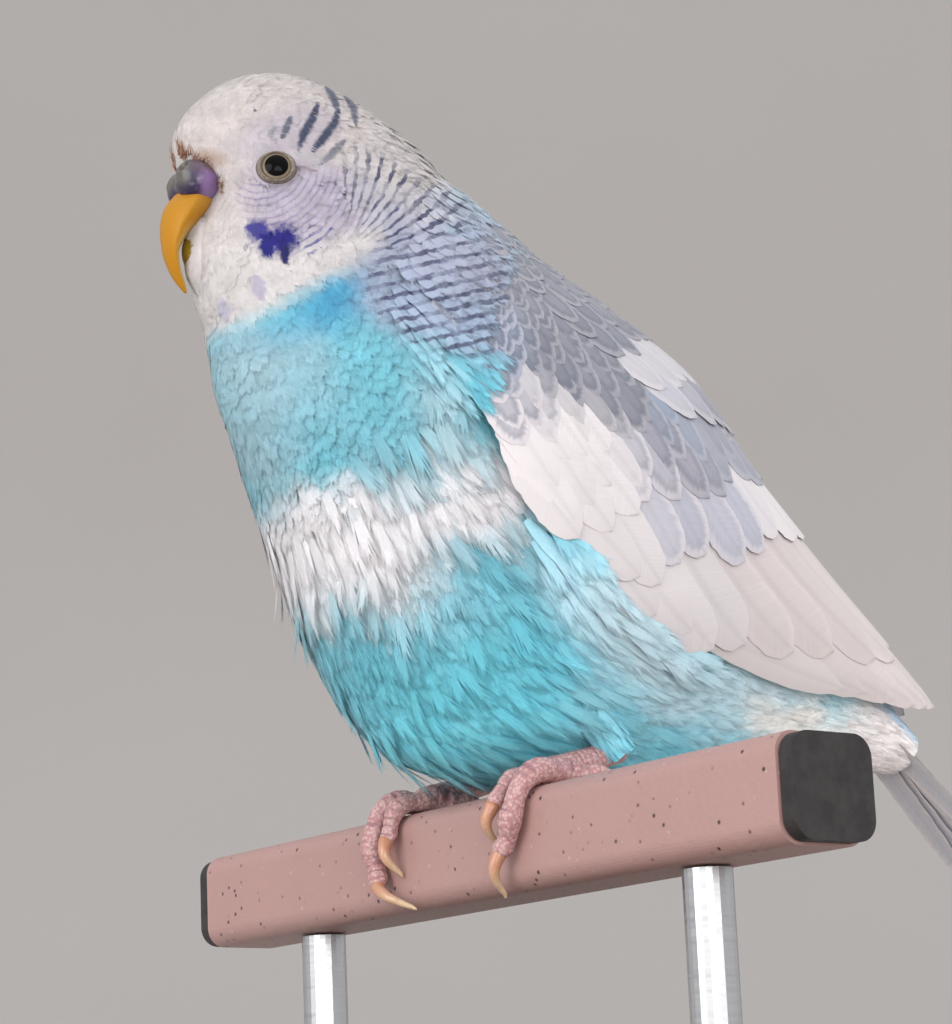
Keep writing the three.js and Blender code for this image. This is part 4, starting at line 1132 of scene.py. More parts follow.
def vane_outline(along, tip, root=0.5):
    """Half width of a vane along its length, as a share: a narrow root and a round or pointed tip."""
    open_up = root + (1 - root) * smooth(along, 0, 0.35)
    close = np.clip(1 - np.clip((along - tip) / (1.0 - tip), 0, 1) ** 2.2, 0, 1) ** 0.6
    return open_up * close


def large_feather(place, length, width, look, seed, tip=0.72, outer=0.5, rows=24, columns=11):
    """A closed, cupped vane with a raised shaft. place(along, left mm, height mm) gives points of the bird, and
    look holds its edge colour, its middle colour, and how strong the middle and the dark border in it are."""
    draw = np.random.default_rng(seed)
    along, across = np.meshgrid(np.linspace(0, 1, rows) ** 0.92, np.linspace(-1, 1, columns), indexing="ij")
    half = vane_outline(along, tip)
    ragged = 1 + 0.05 * np.abs(across) * np.sin(along * 60 + draw.uniform(0, 6)) * draw.uniform(0.2, 1)
    share = np.where(across < 0, 2 * outer, 2 * (1 - outer))
    left = across * half * ragged * share * width / 2
    ridge = VANE["shaft"] * np.exp(-((across / 0.10) ** 2)) * (1 - 0.8 * along)
    cup = 0.03 * width * across**2
    level = 0 * cup
    top = place(along, left, ridge - cup + VANE["thick"] / 2)
    under = place(along, left, -cup - VANE["thick"] / 2)
    outward = unit(place(along, left, level + 0.5) - place(along, left, level - 0.5))
    beside = unit(place(along, left + 0.1, level) - place(along, left - 0.1, level))
    ahead = unit(place(along + 0.01, left, level) - place(along - 0.01, left, level))
    bend = 0.10 * across[..., None] * beside + 0.10 * smooth(along, 0.8, 1)[..., None] * ahead
    normals = unit(outward + bend).reshape(-1, 3)
    count = rows * columns
    points_of = np.arange(count).reshape(rows, columns)
    rim = np.concatenate([points_of[0], points_of[1:, -1], points_of[-1, -2::-1], points_of[-2:0:-1, 0]])
    after = np.roll(rim, -1)
    quads = grid_faces(rows, columns)
    edge = np.stack([after, rim, rim + count, after + count], -1)
    faces = np.concatenate([quads, quads[:, ::-1] + count, edge])
    side_reach = 1 - np.clip(half * width / 2 * (1 - np.abs(across)) / (FRINGE * width), 0, 1)
    tip_reach = 1 - np.clip((1 - along) * length / (FRINGE * width), 0, 1)
    shade = draw.uniform(0.95, 1.03) * (1 - 0.08 * np.exp(-((across / 0.08) ** 2)))
    values = dict(reach=(side_reach**4 + tip_reach**4) ** 0.25, barb_line=along * length - 0.9 * np.abs(left),
                  shade=shade)
    values = {key: np.tile(value.ravel(), 2) for key, value in values.items()}
    same = dict(ground=look["edge"], ink=look["middle"], mark=look["mark"], rim=look["rim"],
                seed=seed * 7.3 % 50)
    values.update({key: np.tile(value, (2 * count, 1)) for key, value in same.items()})
    return dict(columns=columns, points=np.concatenate([top.reshape(-1, 3), under.reshape(-1, 3)]), faces=faces,
                normals=np.concatenate([normals, -normals]), values=values)


def join_feathers(name, feathers, material, slot, replaces=()):
    points, faces = join_parts([(f["points"], f["faces"]) for f in feathers])
    values = {key: np.concatenate([f["values"][key] for f in feathers]) for key in feathers[0]["values"]}
    uv = np.concatenate([feather_sheet(f, index, len(feathers)) for index, f in enumerate(feathers)])
    make_object(name, points, faces, material, slot, replaces=replaces, values=values, uv=uv,
                normals=np.concatenate([f["normals"] for f in feathers]))


def feather_sheet(feather, index, count):
    """Each large feather's own cell of the map: its width across and its length up, top and underside."""
    columns = math.ceil(math.sqrt(count * 3))
    rows = math.ceil(count / columns)
    half = len(feather["points"]) // 2
    n = np.arange(2 * half)
    local, side = n % half, n // half
    wide = feather["columns"]
    across = (local % wide) / (wide - 1)
    along = (local // wide) / (half // wide - 1)
    u = (index % columns + 0.04 + 0.44 * across + 0.48 * side) / columns
    v = (index // columns + 0.04 + 0.92 * along) / rows
    return np.stack([u, v], -1)


def on_mantle(root, tip, lift, width, sign):
    """A function that places a vane on the mantle, from its root to its tip, on the left or the right, and the
    vane's length."""
    (rib0, deg0), (rib1, deg1) = root, tip

    def course(share):
        rib, angle = rib0 + (rib1 - rib0) * share, np.radians(deg0 + (deg1 - deg0) * share)
        along = mantle.look_up(mantle.along, rib, angle) * (rib1 - rib0)
        return rib, angle, along + mantle.look_up(mantle.around, rib, angle) * math.radians(deg1 - deg0)

    def place(share, left, height):
        rib, angle, way = course(share)
        beside = unit(np.cross(mantle.look_up(mantle.normals, rib, angle), way))
        more_rib, more_angle = mantle.steps(rib, angle, beside * left[..., None])
        rise = lift[0] + (lift[1] - lift[0]) * np.sqrt(np.clip(share, 0, 1)) + VANE_TILT * left / width + height
        points = mantle.at(rib + more_rib, angle + more_angle, rise)
        points[..., 0] = np.maximum(points[..., 0], 0.3)
        return points * np.array([sign, 1, 1])

    return place, float(np.linalg.norm(course(np.array([0.5]))[2]))


def row_between(first, last, share):
    """Roots and tips of a row of feathers part of the way between two rows."""
    return [tuple(np.array(a) * (1 - share) + np.array(b) * share) for a, b in zip(first, last)]


def row_shares(count):
    """How far up the wing each row of small feathers lies. Higher rows lie closer together."""
    return (1 - (1 - np.linspace(0, 1, count)) ** 1.4).tolist()


# How much higher a vane's left edge lies than its right one, in millimetres.
VANE_TILT = 0.16
# Tiers of wing feathers, from the lowest to the topmost: roots and tips run from the wing's lower edge to its
# upper one, as places along the mantle's ribs and degrees on it.
WING_TIERS = [
    dict(count=8, width=8.0, lift=(-0.8, 0.0), tip=0.72, outer=0.34, spread=0.1, roots=[(4.8, 98), (5.4, 50)],
         tips=[(8.9, 91), (9.9, 80), (10.7, 56), (10.1, 24)]),
    dict(count=10, width=8.2, lift=(-0.5, 0.35), tip=0.8, outer=0.4, spread=0.12, roots=[(4.4, 100), (5.0, 30)],
         tips=[(6.2, 101), (7.0, 98), (8.05, 82), (9.3, 50), (8.9, 18)]),
    dict(count=9, width=7.4, lift=(-0.1, 0.7), tip=0.66, outer=0.45, spread=0.12, roots=[(4.3, 101), (5.6, 32)],
         tips=[(5.6, 100), (6.1, 84), (6.65, 62), (7.1, 28)]),
]
for share in row_shares(14):
    WING_TIERS.append(dict(SMALL_VANE, count=round(11 + 6 * share), width=6.2 - 2.9 * share, spread=0.12,
                           lift=(0.3, 0.78 + 0.24 * share), tip=0.62 - 0.1 * share,
                           roots=row_between([(3.7, 102), (4.9, 30)], [(1.7, 82), (2.1, 44)], share),
                           tips=row_between([(5.0, 103), (5.35, 82), (5.85, 58), (6.3, 28)],
                                            [(2.4, 93), (2.5, 78), (2.7, 60), (3.0, 42)], share)))
# Scapulars lie over the wing's upper edge, beside the back.
for share in row_shares(9):
    WING_TIERS.append(dict(SMALL_VANE, count=round(6 + 4 * share), width=5.4 - 2.2 * share, spread=0.16,
                           lift=(0.2, 1.25), tip=0.6,
                           roots=row_between([(3.9, 58), (4.3, 12)], [(1.7, 56), (1.8, 12)], share),
                           tips=row_between([(5.2, 56), (5.9, 14)], [(2.5, 58), (2.7, 12)], share)))


# Greys of the wing by place in the side view: centre, radii, turn, softness, edge, middle, how strong the
# middle is and how strong the dark border in it is.
WING_GREYS = [
    ((34, -10), (26, 7), -38, 0.3, (0.38, 0.37, 0.41), (0.21, 0.215, 0.27), 0.9, 0.5),
    ((24, -18), (9, 8), 0, 0.3, (0.42, 0.44, 0.54), (0.24, 0.28, 0.37), 0.95, 0.5),
    ((50, -43), (24, 7), -35, 0.5, WING_WHITE, (0.66, 0.61, 0.65), 0.35, 0.0),
    ((72, -60), (14, 8), -35, 0.5, (0.78, 0.69, 0.68), (0.64, 0.56, 0.56), 0.5, 0.0),
    ((56, -47.0), (10, 4.6), -12, 0.25, (0.70, 0.66, 0.70), (0.47, 0.48, 0.57), 0.9, 0.1),
    ((48, -38.5), (7, 5), -30, 0.3, (0.72, 0.68, 0.72), (0.50, 0.49, 0.56), 0.85, 0.3),
    ((50, -30), (13, 6.5), -42, 0.25, (0.47, 0.45, 0.50), (0.29, 0.29, 0.36), 0.9, 0.4),
    ((37, -20.5), (16, 7.5), -33, 0.25, (0.35, 0.345, 0.39), (0.205, 0.215, 0.265), 0.95, 0.5),
    ((26.5, -23), (5.5, 7), 0, 0.3, (0.44, 0.45, 0.54), (0.24, 0.28, 0.37), 0.95, 0.5),
    ((31, -30.5), (7, 3.0), -30, 0.35, (0.72, 0.67, 0.70), (0.42, 0.42, 0.49), 0.8, 0.5),
    ((51, -30.5), (5.0, 2.4), -35, 0.3, (0.40, 0.43, 0.52), (0.26, 0.32, 0.43), 0.8, 0.2),
    ((57, -35.0), (5.5, 3), -50, 0.3, (0.44, 0.44, 0.50), (0.31, 0.32, 0.39), 0.8, 0.2),
    ((49.5, -25.5), (4.8, 2.8), -40, 0.3, (0.68, 0.64, 0.67), (0.55, 0.53, 0.58), 0.6, 0.1),
    ((37.0, -39.5), (8.2, 8.0), -35, 0.25, WING_WHITE, WING_WHITE, 0.0, 0.0),
]


def wing_look(place):
    """A wing feather's colours, from where its outer half lies in the side view."""
    view = side_points(place(np.array([0.68]), np.zeros(1), np.zeros(1)), 10.0)
    look = dict(edge=np.array(WING_WHITE), middle=np.array(WING_WHITE), mark=0.0, rim=0.0)
    for centre, radii, turn, soft, *paints in WING_GREYS:
        share = float(blob(view, centre, radii, turn, soft)[0])
        for key, value in zip(look, paints):
            look[key] = look[key] + (np.array(value) - look[key]) * share
    return look


def dress_wings():
    material = vane_material("feathers_vane")
    for word, sign in SIDES:
        draw = np.random.default_rng(77)
        feathers = []
        for number, tier in enumerate(WING_TIERS):
            shape = {key: tier[key] for key in ("tip", "outer", "rows", "columns") if key in tier}
            for i, share in enumerate(np.linspace(0, 1, tier["count"])):
                root, tip = (catmull_rom(tier[key], share * (len(tier[key]) - 1)) for key in ("roots", "tips"))
                tip = tip + draw.uniform(-1, 1, 2) * [tier["spread"], 14 * tier["spread"]]
                width = tier["width"] * draw.uniform(0.92, 1.08)
                place, length = on_mantle(root, tip, tier["lift"], width, sign)
                look = wing_look(place)
                look["middle"] = mix(look["middle"], look["edge"], draw.uniform(0, 0.4))
                look["edge"] = mix(look["edge"], look["middle"], draw.uniform(0, 0.35))
                feather = large_feather(place, length, width, look, 100 * number + i, **shape)
                if sign > 0:
                    feather["faces"] = feather["faces"][:, ::-1]
                feathers.append(feather)
        join_feathers(f"wing_feathers_{word}", feathers, material, "feathers_wing", replaces=(f"wing_{word}",))


# Tail
TAIL = dict(y=57.0, z=19.2, pitch=43.0, long=94.0, width=6.2, pairs=6, shortest=0.42, narrowest=0.7,
            root=0.6, tip=0.9, spread=4.5, step=0.3)


def dress_tail():
    material = bpy.data.materials["feathers_vane"]
    pitch = math.radians(TAIL["pitch"])
    feathers = []
    draw = np.random.default_rng(5)
    for pair in range(TAIL["pairs"]):
        share = pair / (TAIL["pairs"] - 1)
        long = TAIL["long"] * (1 + (TAIL["shortest"] - 1) * share**0.8)
        wide = TAIL["width"] * (1 + (TAIL["narrowest"] - 1) * share) * draw.uniform(0.97, 1.03)
        for side in (1, -1):
            under = TAIL["step"] * (pair + (0.5 if side < 0 else 0))

            def place(along, left, height, long=long, side=side, under=under, share=share):
                middle = side * (TAIL["root"] + (TAIL["tip"] + TAIL["spread"] * share - TAIL["root"]) * along)
                back = long * along
                raised = height - under
                x = middle + left
                y = TAIL["y"] + back * math.cos(pitch) + raised * math.sin(pitch)
                z = TAIL["z"] - back * math.sin(pitch) + raised * math.cos(pitch)
                return np.stack([x, y, z], -1)

            look = dict(edge=np.array(WING_WHITE), middle=np.array((0.30, 0.42, 0.60)), mark=0.75 - 0.5 * share,
                        rim=0.0)
            seed = 900 + 2 * pair + (side > 0)
            feathers.append(large_feather(place, long, wide, look, seed, tip=0.55, rows=40))
    join_feathers("tail_feathers", feathers, material, "feathers_wing", replaces=("tail",))


# Bare parts of the head

def cere_material():
    """Grey-tan at the upper front, dark purple in the middle and lilac at the rear."""
    n = Nodes("cere_skin", roughness=0.36, Coat_Weight=0.15, Coat_Roughness=0.25)
    drift = n.drift(2.2, 420.0, 3.0)
    across, rise = n.plus(n.value("across"), drift), n.plus(n.value("rise"), drift)
    colour = n.blend(n.ramp(across, -0.4, 1.1), (0.018, 0.008, 0.05), (0.21, 0.12, 0.28))
    colour = n.blend(n.ramp(rise, 0.8, 2.4), colour, (0.12, 0.085, 0.11))
    front = n.times(n.ramp(across, -0.4, -1.8), n.ramp(n.value("rise"), -1.6, 0.6))
    colour = n.blend(front, colour, (0.10, 0.09, 0.075))
    n.set("Base Color", n.blend(n.ramp(n.noise(900.0, 4.0), 0.55, 0.8, 0.0, 0.35), colour, (0.45, 0.36, 0.50)))
    n.bump(n.noise(2600.0, 4.0), 0.2)
    return n.material


def ball(centre, radii, rows=19, sides=32):
    """An ellipsoid of the head, in the part's frame. Its radii go left, forward and up."""
    t, p = sphere_angles(rows, sides, poles=False)
    shape = np.stack([np.sin(t) * np.cos(p), np.sin(t) * np.sin(p), np.cos(t)], -1).reshape(-1, 3)
    left, forward, up = (np.concatenate([shape, [[0, 0, 1], [0, 0, -1]]]) * np.array(radii)).T
    points = in_head(centre[0] + forward, centre[1] + left, centre[2] + up)
    return to_part(points), closed_faces(rows, sides)


def dress_cere():
    sides = [(CERE["forward"], side * CERE["apart"], CERE["up"]) for _, side in SIDES]
    halves = [ball(centre, (CERE["wide"], CERE["long"], CERE["high"])) for centre in sides]
    piece, points = fuse("cere_skin", halves, 0.12, 4)
    # Nostrils: a hole with a low rim on each side.
    for _, side in SIDES:
        hole = to_part(in_head(9.7, side * 3.1, 2.3))
        inward = unit(to_part(in_head(6.8, side * 2.0, 1.1)) - hole)
        away = np.linalg.norm(points - hole, axis=-1)
        depth = 1.1 * np.exp(-((away / 0.62) ** 2)) - 0.25 * np.exp(-(((away - 1.0) / 0.4) ** 2))
        points += inward * depth[:, None]
    move_points(piece, points)
    view = side_points(turn_z(points - RAIL_TOP, BODY_YAW), 0.0) - side_points(in_head(*sides[0])[None], 0.0)
    add_values(piece.data, {"across": view[:, 0], "rise": view[:, 1]})
    dress(piece, cere_material(), replaces=("cere",))


def dress_bristles(count=170, rings=5):
    """Short rusty bristles that stand out of the forehead, round the upper edge of the cere."""
    draw = np.random.default_rng(31)
    k = np.linspace(0, 1, rings)
    bristles = []
    for _ in range(count):
        rib = draw.uniform(0.05, 0.42) + draw.uniform(0.2, 0.45) * k
        angle = draw.choice([-1, 1]) * draw.uniform(0.3, 1.7) + draw.uniform(-0.12, 0.12) * k
        line = body.at(rib, angle, 0.05 + draw.uniform(0.1, 0.4) * k)
        bristles.append(tube(line, 0.07 * (1 - 0.8 * k), 3))
    rust = plain_material("bristle_rust", (0.42, 0.17, 0.06), (0.20, 0.08, 0.04), 300.0, 0.6)
    make_object("bristles_cere", *join_parts(bristles), rust, "feathers_white")


def bill_mesh(name, slices, rows, sides, material, node):
    at = np.linspace(0, len(slices) - 1, rows)
    up, front, rear, half = catmull_rom(slices, at).T[..., None]
    phi = np.linspace(0, 2 * np.pi, sides, endpoint=False)
    ahead = np.cos(phi)
    forward = (front + rear) / 2 + (front - rear) / 2 * ahead
    left = half * (1 - 0.28 * np.maximum(0, ahead)) * np.sin(phi)
    rings = in_head(forward, left, up + 0 * ahead)
    values = dict(share=np.repeat(at / (len(slices) - 1), sides), rearward=np.tile(0.5 - 0.5 * ahead, rows))
    make_object(name, np.concatenate([rings.reshape(-1, 3), [rings[0].mean(0), rings[-1].mean(0)]]),
                closed_faces(rows, sides)[:, ::-1], material, "bill", replaces=(node,),
                values={key: with_ends(value) for key, value in values.items()})


def bill_material(name, colour, tip_colour):
    n = Nodes(name, roughness=0.45, Specular_IOR_Level=0.3, Subsurface_Weight=0.1, Subsurface_Scale=0.001,
              Subsurface_Radius=(1.0, 0.5, 0.15))
    share, rearward = n.value("share"), n.value("rearward")
    colour = n.blend(n.ramp(share, 0.55, 0.95), colour, tip_colour)
    pale = n.times(n.ramp(rearward, 0.45, 0.95), n.ramp(share, 0.25, 0.5))
    colour = n.blend(pale, colour, (0.66, 0.46, 0.14))
    mottle = n.ramp(n.noise(700.0, 4.0), 0.35, 0.75)
    colour = n.blend(n.times(mottle, 0.25), colour, (0.50, 0.18, 0.001))
    top = n.ramp(share, 0.30, 0.05, 0.0, 0.5)
    n.set("Base Color", n.blend(n.times(top, rearward), colour, (0.40, 0.24, 0.08)))
    n.bump(n.noise(1800.0, 3.0), 0.2)
    return n.material


def eye_material():
    """A black pupil in a pale iris with a dark edge, by how far a point is from the eye's axis."""
    n = Nodes("eye_wet", roughness=0.04, Specular_IOR_Level=0.09)
    away = n.value("away")
    iris = n.blend(n.noise(3000.0, 4.0), (0.30, 0.235, 0.165), (0.17, 0.13, 0.095))
    colour = n.blend(n.ramp(away, 1.44, 1.52), (0.002, 0.002, 0.002), iris)
    n.set("Base Color", n.blend(n.ramp(away, 1.74, 1.84), colour, (0.05, 0.04, 0.035)))
    return n.material


def ring_material():
    n = Nodes("eye_ring_skin", roughness=0.5)
    away, bumps = n.value("away"), n.cells(2200.0)
    colour = n.blend(n.ramp(bumps, 0.1, 0.6), (0.30, 0.245, 0.185), (0.18, 0.145, 0.115))
    colour = n.blend(n.ramp(away, 0.82, 0.95), colour, (0.10, 0.09, 0.09))
    n.set("Base Color", n.blend(n.ramp(away, 0.97, 1.12), colour, (0.46, 0.41, 0.48)))
    n.bump(bumps, 0.4)
    return n.material


def dress_eyes():
    wet, bare = eye_material(), ring_material()
    radius = EYE["radius"]
    for word, side in SIDES:
        middle = eye_centre(side, 0)
        outward = unit(middle - eye_centre(side, 1))
        up = unit(np.array([0, 0, 1.0]) - outward * outward[2])
        across = np.cross(up, outward)

        def eye_part(name, material, away, rise, phi, centre, values, replaces=()):
            """Rings round the eye's axis, at distances from it and heights along it."""
            around = np.cos(phi)[..., None] * up + np.sin(phi)[..., None] * across
            points = centre + around * away[..., None] + outward * rise[..., None]
            faces = grid_faces(*phi.shape, wrap=True)[:, ::side]
            make_object(name, points, faces, material, "eye", replaces=replaces, values={"away": values})

        t, phi = sphere_angles(28, 48)
        bulge = radius * (1 + 0.05 * np.exp(-((t / 0.5) ** 2)))
        eye_part(f"eyeball_{word}", wet, np.minimum(radius * np.sin(t), 1.95), bulge * np.cos(t), phi,
                 middle - outward * EYE["sink"], radius * np.sin(t) + (t > 1.6) * 9, (f"eye_{word}",))
        # Ring of bare skin with small beads, its inner edge over the eye.
        turns = np.linspace(0, 2 * np.pi, 96, endpoint=False)
        s, phi = np.meshgrid(np.linspace(0, 1.6, 20), turns, indexing="ij")
        rise = 0.14 + 0.34 * np.sin(np.pi * np.clip(s * 1.1, 0, 1)) - 0.42 * s**2
        beads = 0.03 * np.sin(phi * 30 + 3 * s) * np.sin(np.pi * np.clip(s, 0, 1)) ** 0.5
        eye_part(f"eye_ring_{word}", bare, 1.82 + (0.40 + 0.34 * np.abs(np.sin(phi)) ** 1.5) * s, rise + beads,
                 phi, middle, s)


# Feet and claws, in the rail's frame: x along the rail, y back, z up from the middle of its top face.
FEET = [
    dict(word="left", x=13.0, toes=[
        dict(digit=1, radius=1.2, path=[(-1.6, -1), (-2.8, -4.6), (-3.2, -8.4)], claw=(-3.4, -13.4)),
        dict(digit=2, radius=1.3, path=[(-1.2, -1), (-1.8, 3.4), (-2.6, 7.4)], claw=(-3.9, 12.0)),
        dict(digit=3, radius=1.5, path=[(0.8, -1), (2.2, 4.2), (0.6, 9.6), (-1.4, 13.2)], claw=(-2.6, 18.6)),
        dict(digit=4, radius=1.3, path=[(1.4, -1), (3.0, -5.6), (3.6, -10.6)], claw=(3.8, -15.8)),
    ]),
    dict(word="right", x=-13.0, toes=[
        dict(digit=1, radius=1.2, path=[(1.6, -1), (2.6, -4.6), (2.8, -8.4)], claw=(3.0, -13.4)),
        dict(digit=2, radius=1.3, path=[(1.0, -1), (0.9, 4.0), (0.4, 8.8)], claw=(1.8, 13.6)),
        dict(digit=3, radius=1.5, path=[(-0.8, -1), (-1.9, 4.2), (-3.0, 9.6), (-1.8, 14.4)], claw=(4.6, 18.0)),
        dict(digit=4, radius=1.3, path=[(-1.4, -1), (-3.0, -5.6), (-3.6, -10.6)], claw=(-3.8, -15.8)),
    ]),
]
PAD = dict(y=-0.4, wide=2.4, long=2.6, high=1.9)
SCALES = dict(toe=1.05, shank=0.9, high=0.16)
SHANK = dict(ankle_y=10.6, ankle_z=5.4, outward=-0.5, radius=1.6)
# How far the toes stay off the rail, and in how many blocks a foot's points look for their nearest line.
GAP = 0.3
BLOCKS = 12


def around_rail(x, distance, offset):
    """Points off the rail's surface: how far round it from the middle of the top, forwards if positive."""
    flat = RAIL["side"] / 2 - RAIL["corner"]
    arc = RAIL["corner"] * math.pi / 2
    d, sign = np.abs(distance), np.where(distance < 0, -1.0, 1.0)
    angle = np.clip((d - flat) / RAIL["corner"], 0, math.pi / 2)
    radius = RAIL["corner"] + offset
    y = np.where(d <= flat, d, flat + radius * np.sin(angle))
    z = np.where(d <= flat, offset, radius * np.cos(angle) - RAIL["corner"])
    below = d > flat + arc
    y = np.where(below, RAIL["side"] / 2 + offset, y)
    z = np.where(below, -RAIL["corner"] - (d - flat - arc), z)
    return np.stack([x + 0 * d, -sign * y, z], -1)


def tube(points, radii, sides, split=True):
    """Rings round a line of points, with closed ends: points and faces."""
    ahead = unit(np.gradient(points, axis=0))
    normal = np.empty_like(points)
    seed = np.array([0, 0, 1.0]) if abs(ahead[0][2]) < 0.8 else np.array([0, -1.0, 0])
    for i, way in enumerate(ahead):
        seed = unit(seed - way * (seed @ way))
        normal[i] = seed
    beside = np.cross(ahead, normal)
    phi = np.linspace(0, 2 * np.pi, sides, endpoint=False)[None, :, None]
    radii = np.broadcast_to(np.asarray(radii), (len(points),))[:, None, None]
    rings = points[:, None] + radii * (np.cos(phi) * normal[:, None] + np.sin(phi) * beside[:, None])
    faces = closed_faces(len(points), sides, split=split)
    return np.concatenate([rings.reshape(-1, 3), points[:1], points[-1:]]), faces


def toe_line(foot, toe, count=60):
    line = catmull_rom(toe["path"], np.linspace(0, len(toe["path"]) - 1, count))
    share = np.linspace(0, 1, count)
    radius = toe["radius"] * (1.04 - 0.2 * share + 0.09 * np.cos(6 * np.pi * share))
    radius[-3:] *= [0.97, 0.88, 0.7]
    return around_rail(foot["x"] + line[:, 0], line[:, 1], radius + GAP), radius


def shank_line(foot):
    start = np.array([foot["x"], PAD["y"], PAD["high"] + GAP])
    end = np.array([foot["x"] + np.sign(foot["x"]) * SHANK["outward"], SHANK["ankle_y"], SHANK["ankle_z"]])
    share = np.linspace(0, 1, 30)[:, None]
    return start * (1 - share) + end * share, SHANK["radius"] * (1.15 - 0.25 * share[:, 0])


def foot_material():
    n = Nodes("foot_skin", roughness=0.55, Subsurface_Weight=0.2, Subsurface_Scale=0.0012)
    pink = n.blend(n.noise(900.0, 3.0), (0.52, 0.26, 0.25), (0.40, 0.20, 0.22))
    colour = n.blend(n.ramp(n.cells(2300.0), 0.25, 0.70), (0.62, 0.41, 0.39), pink)
    n.set("Base Color", n.blend(n.value("groove"), colour, (0.30, 0.15, 0.17)))
    n.bump(n.plus(n.cells(1500.0), n.times(n.noise(4000.0, 3.0), 0.4)), 0.5, 0.00018)
    return n.material


def horn_material():
    n = Nodes("claw_horn", roughness=0.3, Coat_Weight=0.3, Subsurface_Weight=0.3, Subsurface_Scale=0.0008)
    colour = n.blend(n.ramp(n.value("share"), 0.1, 0.9), (0.56, 0.26, 0.16), (0.70, 0.52, 0.34))
    n.set("Base Color", n.blend(n.ramp(n.noise(1200.0, 3.0), 0.4, 0.7, 0.0, 0.3), colour, (0.45, 0.20, 0.10)))
    n.bump(n.noise(2500.0, 3.0), 0.15)
    return n.material


def foot_pad(foot):
    t, p = sphere_angles(14, 20)
    shape = np.stack([np.sin(t) * np.cos(p) * PAD["wide"], np.sin(t) * np.sin(p) * PAD["long"],
                      np.cos(t) * PAD["high"]], -1).reshape(-1, 3)
    return [foot["x"], PAD["y"], PAD["high"] + GAP] + shape, grid_faces(14, 20, wrap=True).tolist()


def dress_feet():
    bare, horn = foot_material(), horn_material()
    for foot in FEET:
        toes = len(foot["toes"])
        lines = [toe_line(foot, toe) for toe in foot["toes"]] + [shank_line(foot)]
        scale_lengths = [SCALES["toe"]] * toes + [SCALES["shank"]]
        sides = [20] * toes + [24]
        parts = [tube(*line, count, split=False) for line, count in zip(lines, sides)] + [foot_pad(foot)]
        parts = [(RAIL_TOP + points, faces) for points, faces in parts]
        piece, points = fuse(f"foot_skin_{foot['word']}", parts, 0.13, 3)
        points -= RAIL_TOP
        # Scales run across each toe's upper side, one after another along its line.
        centres = np.concatenate([line for line, _ in lines])
        runs = [np.cumsum(np.linalg.norm(np.diff(line, axis=0, prepend=line[:1]), axis=1)) / long
                for (line, _), long in zip(lines, scale_lengths)]
        nearest = np.concatenate([((block[:, None] - centres) ** 2).sum(-1).argmin(1)
                                  for block in np.array_split(points, BLOCKS)])
        outward = unit(points - centres[nearest])
        upper = smooth(outward[:, 2] - 0.3 * outward[:, 1], -0.2, 0.4)
        plate = np.abs(np.sin(np.pi * (np.concatenate(runs)[nearest] % 1.0))) ** 0.45
        move_points(piece, points + outward * (SCALES["high"] * upper * (plate - 0.75))[:, None] + RAIL_TOP)
        add_values(piece.data, {"groove": upper * (1 - smooth(plate, 0.25, 0.7)) * 0.8})
        dress(piece, bare, replaces=(f"foot_{foot['word']}",))
        for toe in foot["toes"]:
            dress_claw(foot, toe, horn)


def dress_claw(foot, toe, material):
    (x0, d0), (x1, d1) = toe["path"][-1], toe["claw"]
    run = math.hypot(x1 - x0, d1 - d0)
    k = np.linspace(0, 1, 24)
    at = (0.05 + (run - 0.05) * k) / run
    radius = 0.85 * (1 - k) ** 0.7 + 0.12
    arch = 1.2 * np.sin(np.pi * np.minimum(1, k * 1.1))
    offset = GAP + 0.05 + radius + 0.45 * toe["radius"] * (1 - k) + arch
    line = around_rail(foot["x"] + x0 + (x1 - x0) * at, d0 + (d1 - d0) * at, offset)
    points, faces = tube(line, radius, 18)
    node = f"claw_{foot['word']}_{toe['digit']}"
    make_object(f"{node}_horn", points + RAIL_TOP, faces, material, "claw", replaces=(node,),
                values={"share": with_ends(np.repeat(k, 18))}, in_part=True)


def rail_material():
    n = Nodes("rail_coating", roughness=0.5)
    specks = n.ramp(n.cells(620.0), 0.06, 0.24, 1.0, 0.0)
    rare = n.ramp(n.noise(300.0, 2.0), 0.47, 0.56)
    colour = n.blend(n.noise(60.0, 5.0), (0.46, 0.275, 0.25), (0.40, 0.235, 0.215))
    colour = n.blend(n.times(specks, rare), colour, (0.035, 0.02, 0.02))
    pale = n.times(n.ramp(n.cells(420.0), 0.04, 0.12, 1.0, 0.0), 0.4)
    n.set("Base Color", n.blend(pale, colour, (0.62, 0.50, 0.47)))
    n.bump(n.noise(900.0, 3.0), 0.3, 0.0003)
    return n.material


def wood_material():
    n = Nodes("stand_varnish", roughness=0.5, Coat_Weight=0.15, Coat_Roughness=0.35)
    grain = n.noise(26.0, 6.0, vector=n.stretched((1.0, 14.0, 14.0)), rough=0.65)
    n.set("Base Color", n.blend(n.ramp(grain, 0.35, 0.68), (0.035, 0.018, 0.010), (0.12, 0.06, 0.032)))
    n.bump(grain, 0.2, 0.0002)
    return n.material


def steel_material():
    n = Nodes("rod_steel", roughness=0.32, Metallic=1.0)
    lines = n.noise(1.0, 3.0, vector=n.stretched((60.0, 60.0, 2400.0)))
    n.set("Base Color", n.blend(lines, (0.42, 0.42, 0.43), (0.62, 0.62, 0.63)))
    n.set("Roughness", n.ramp(lines, 0.2, 0.8, 0.25, 0.42))
    return n.material


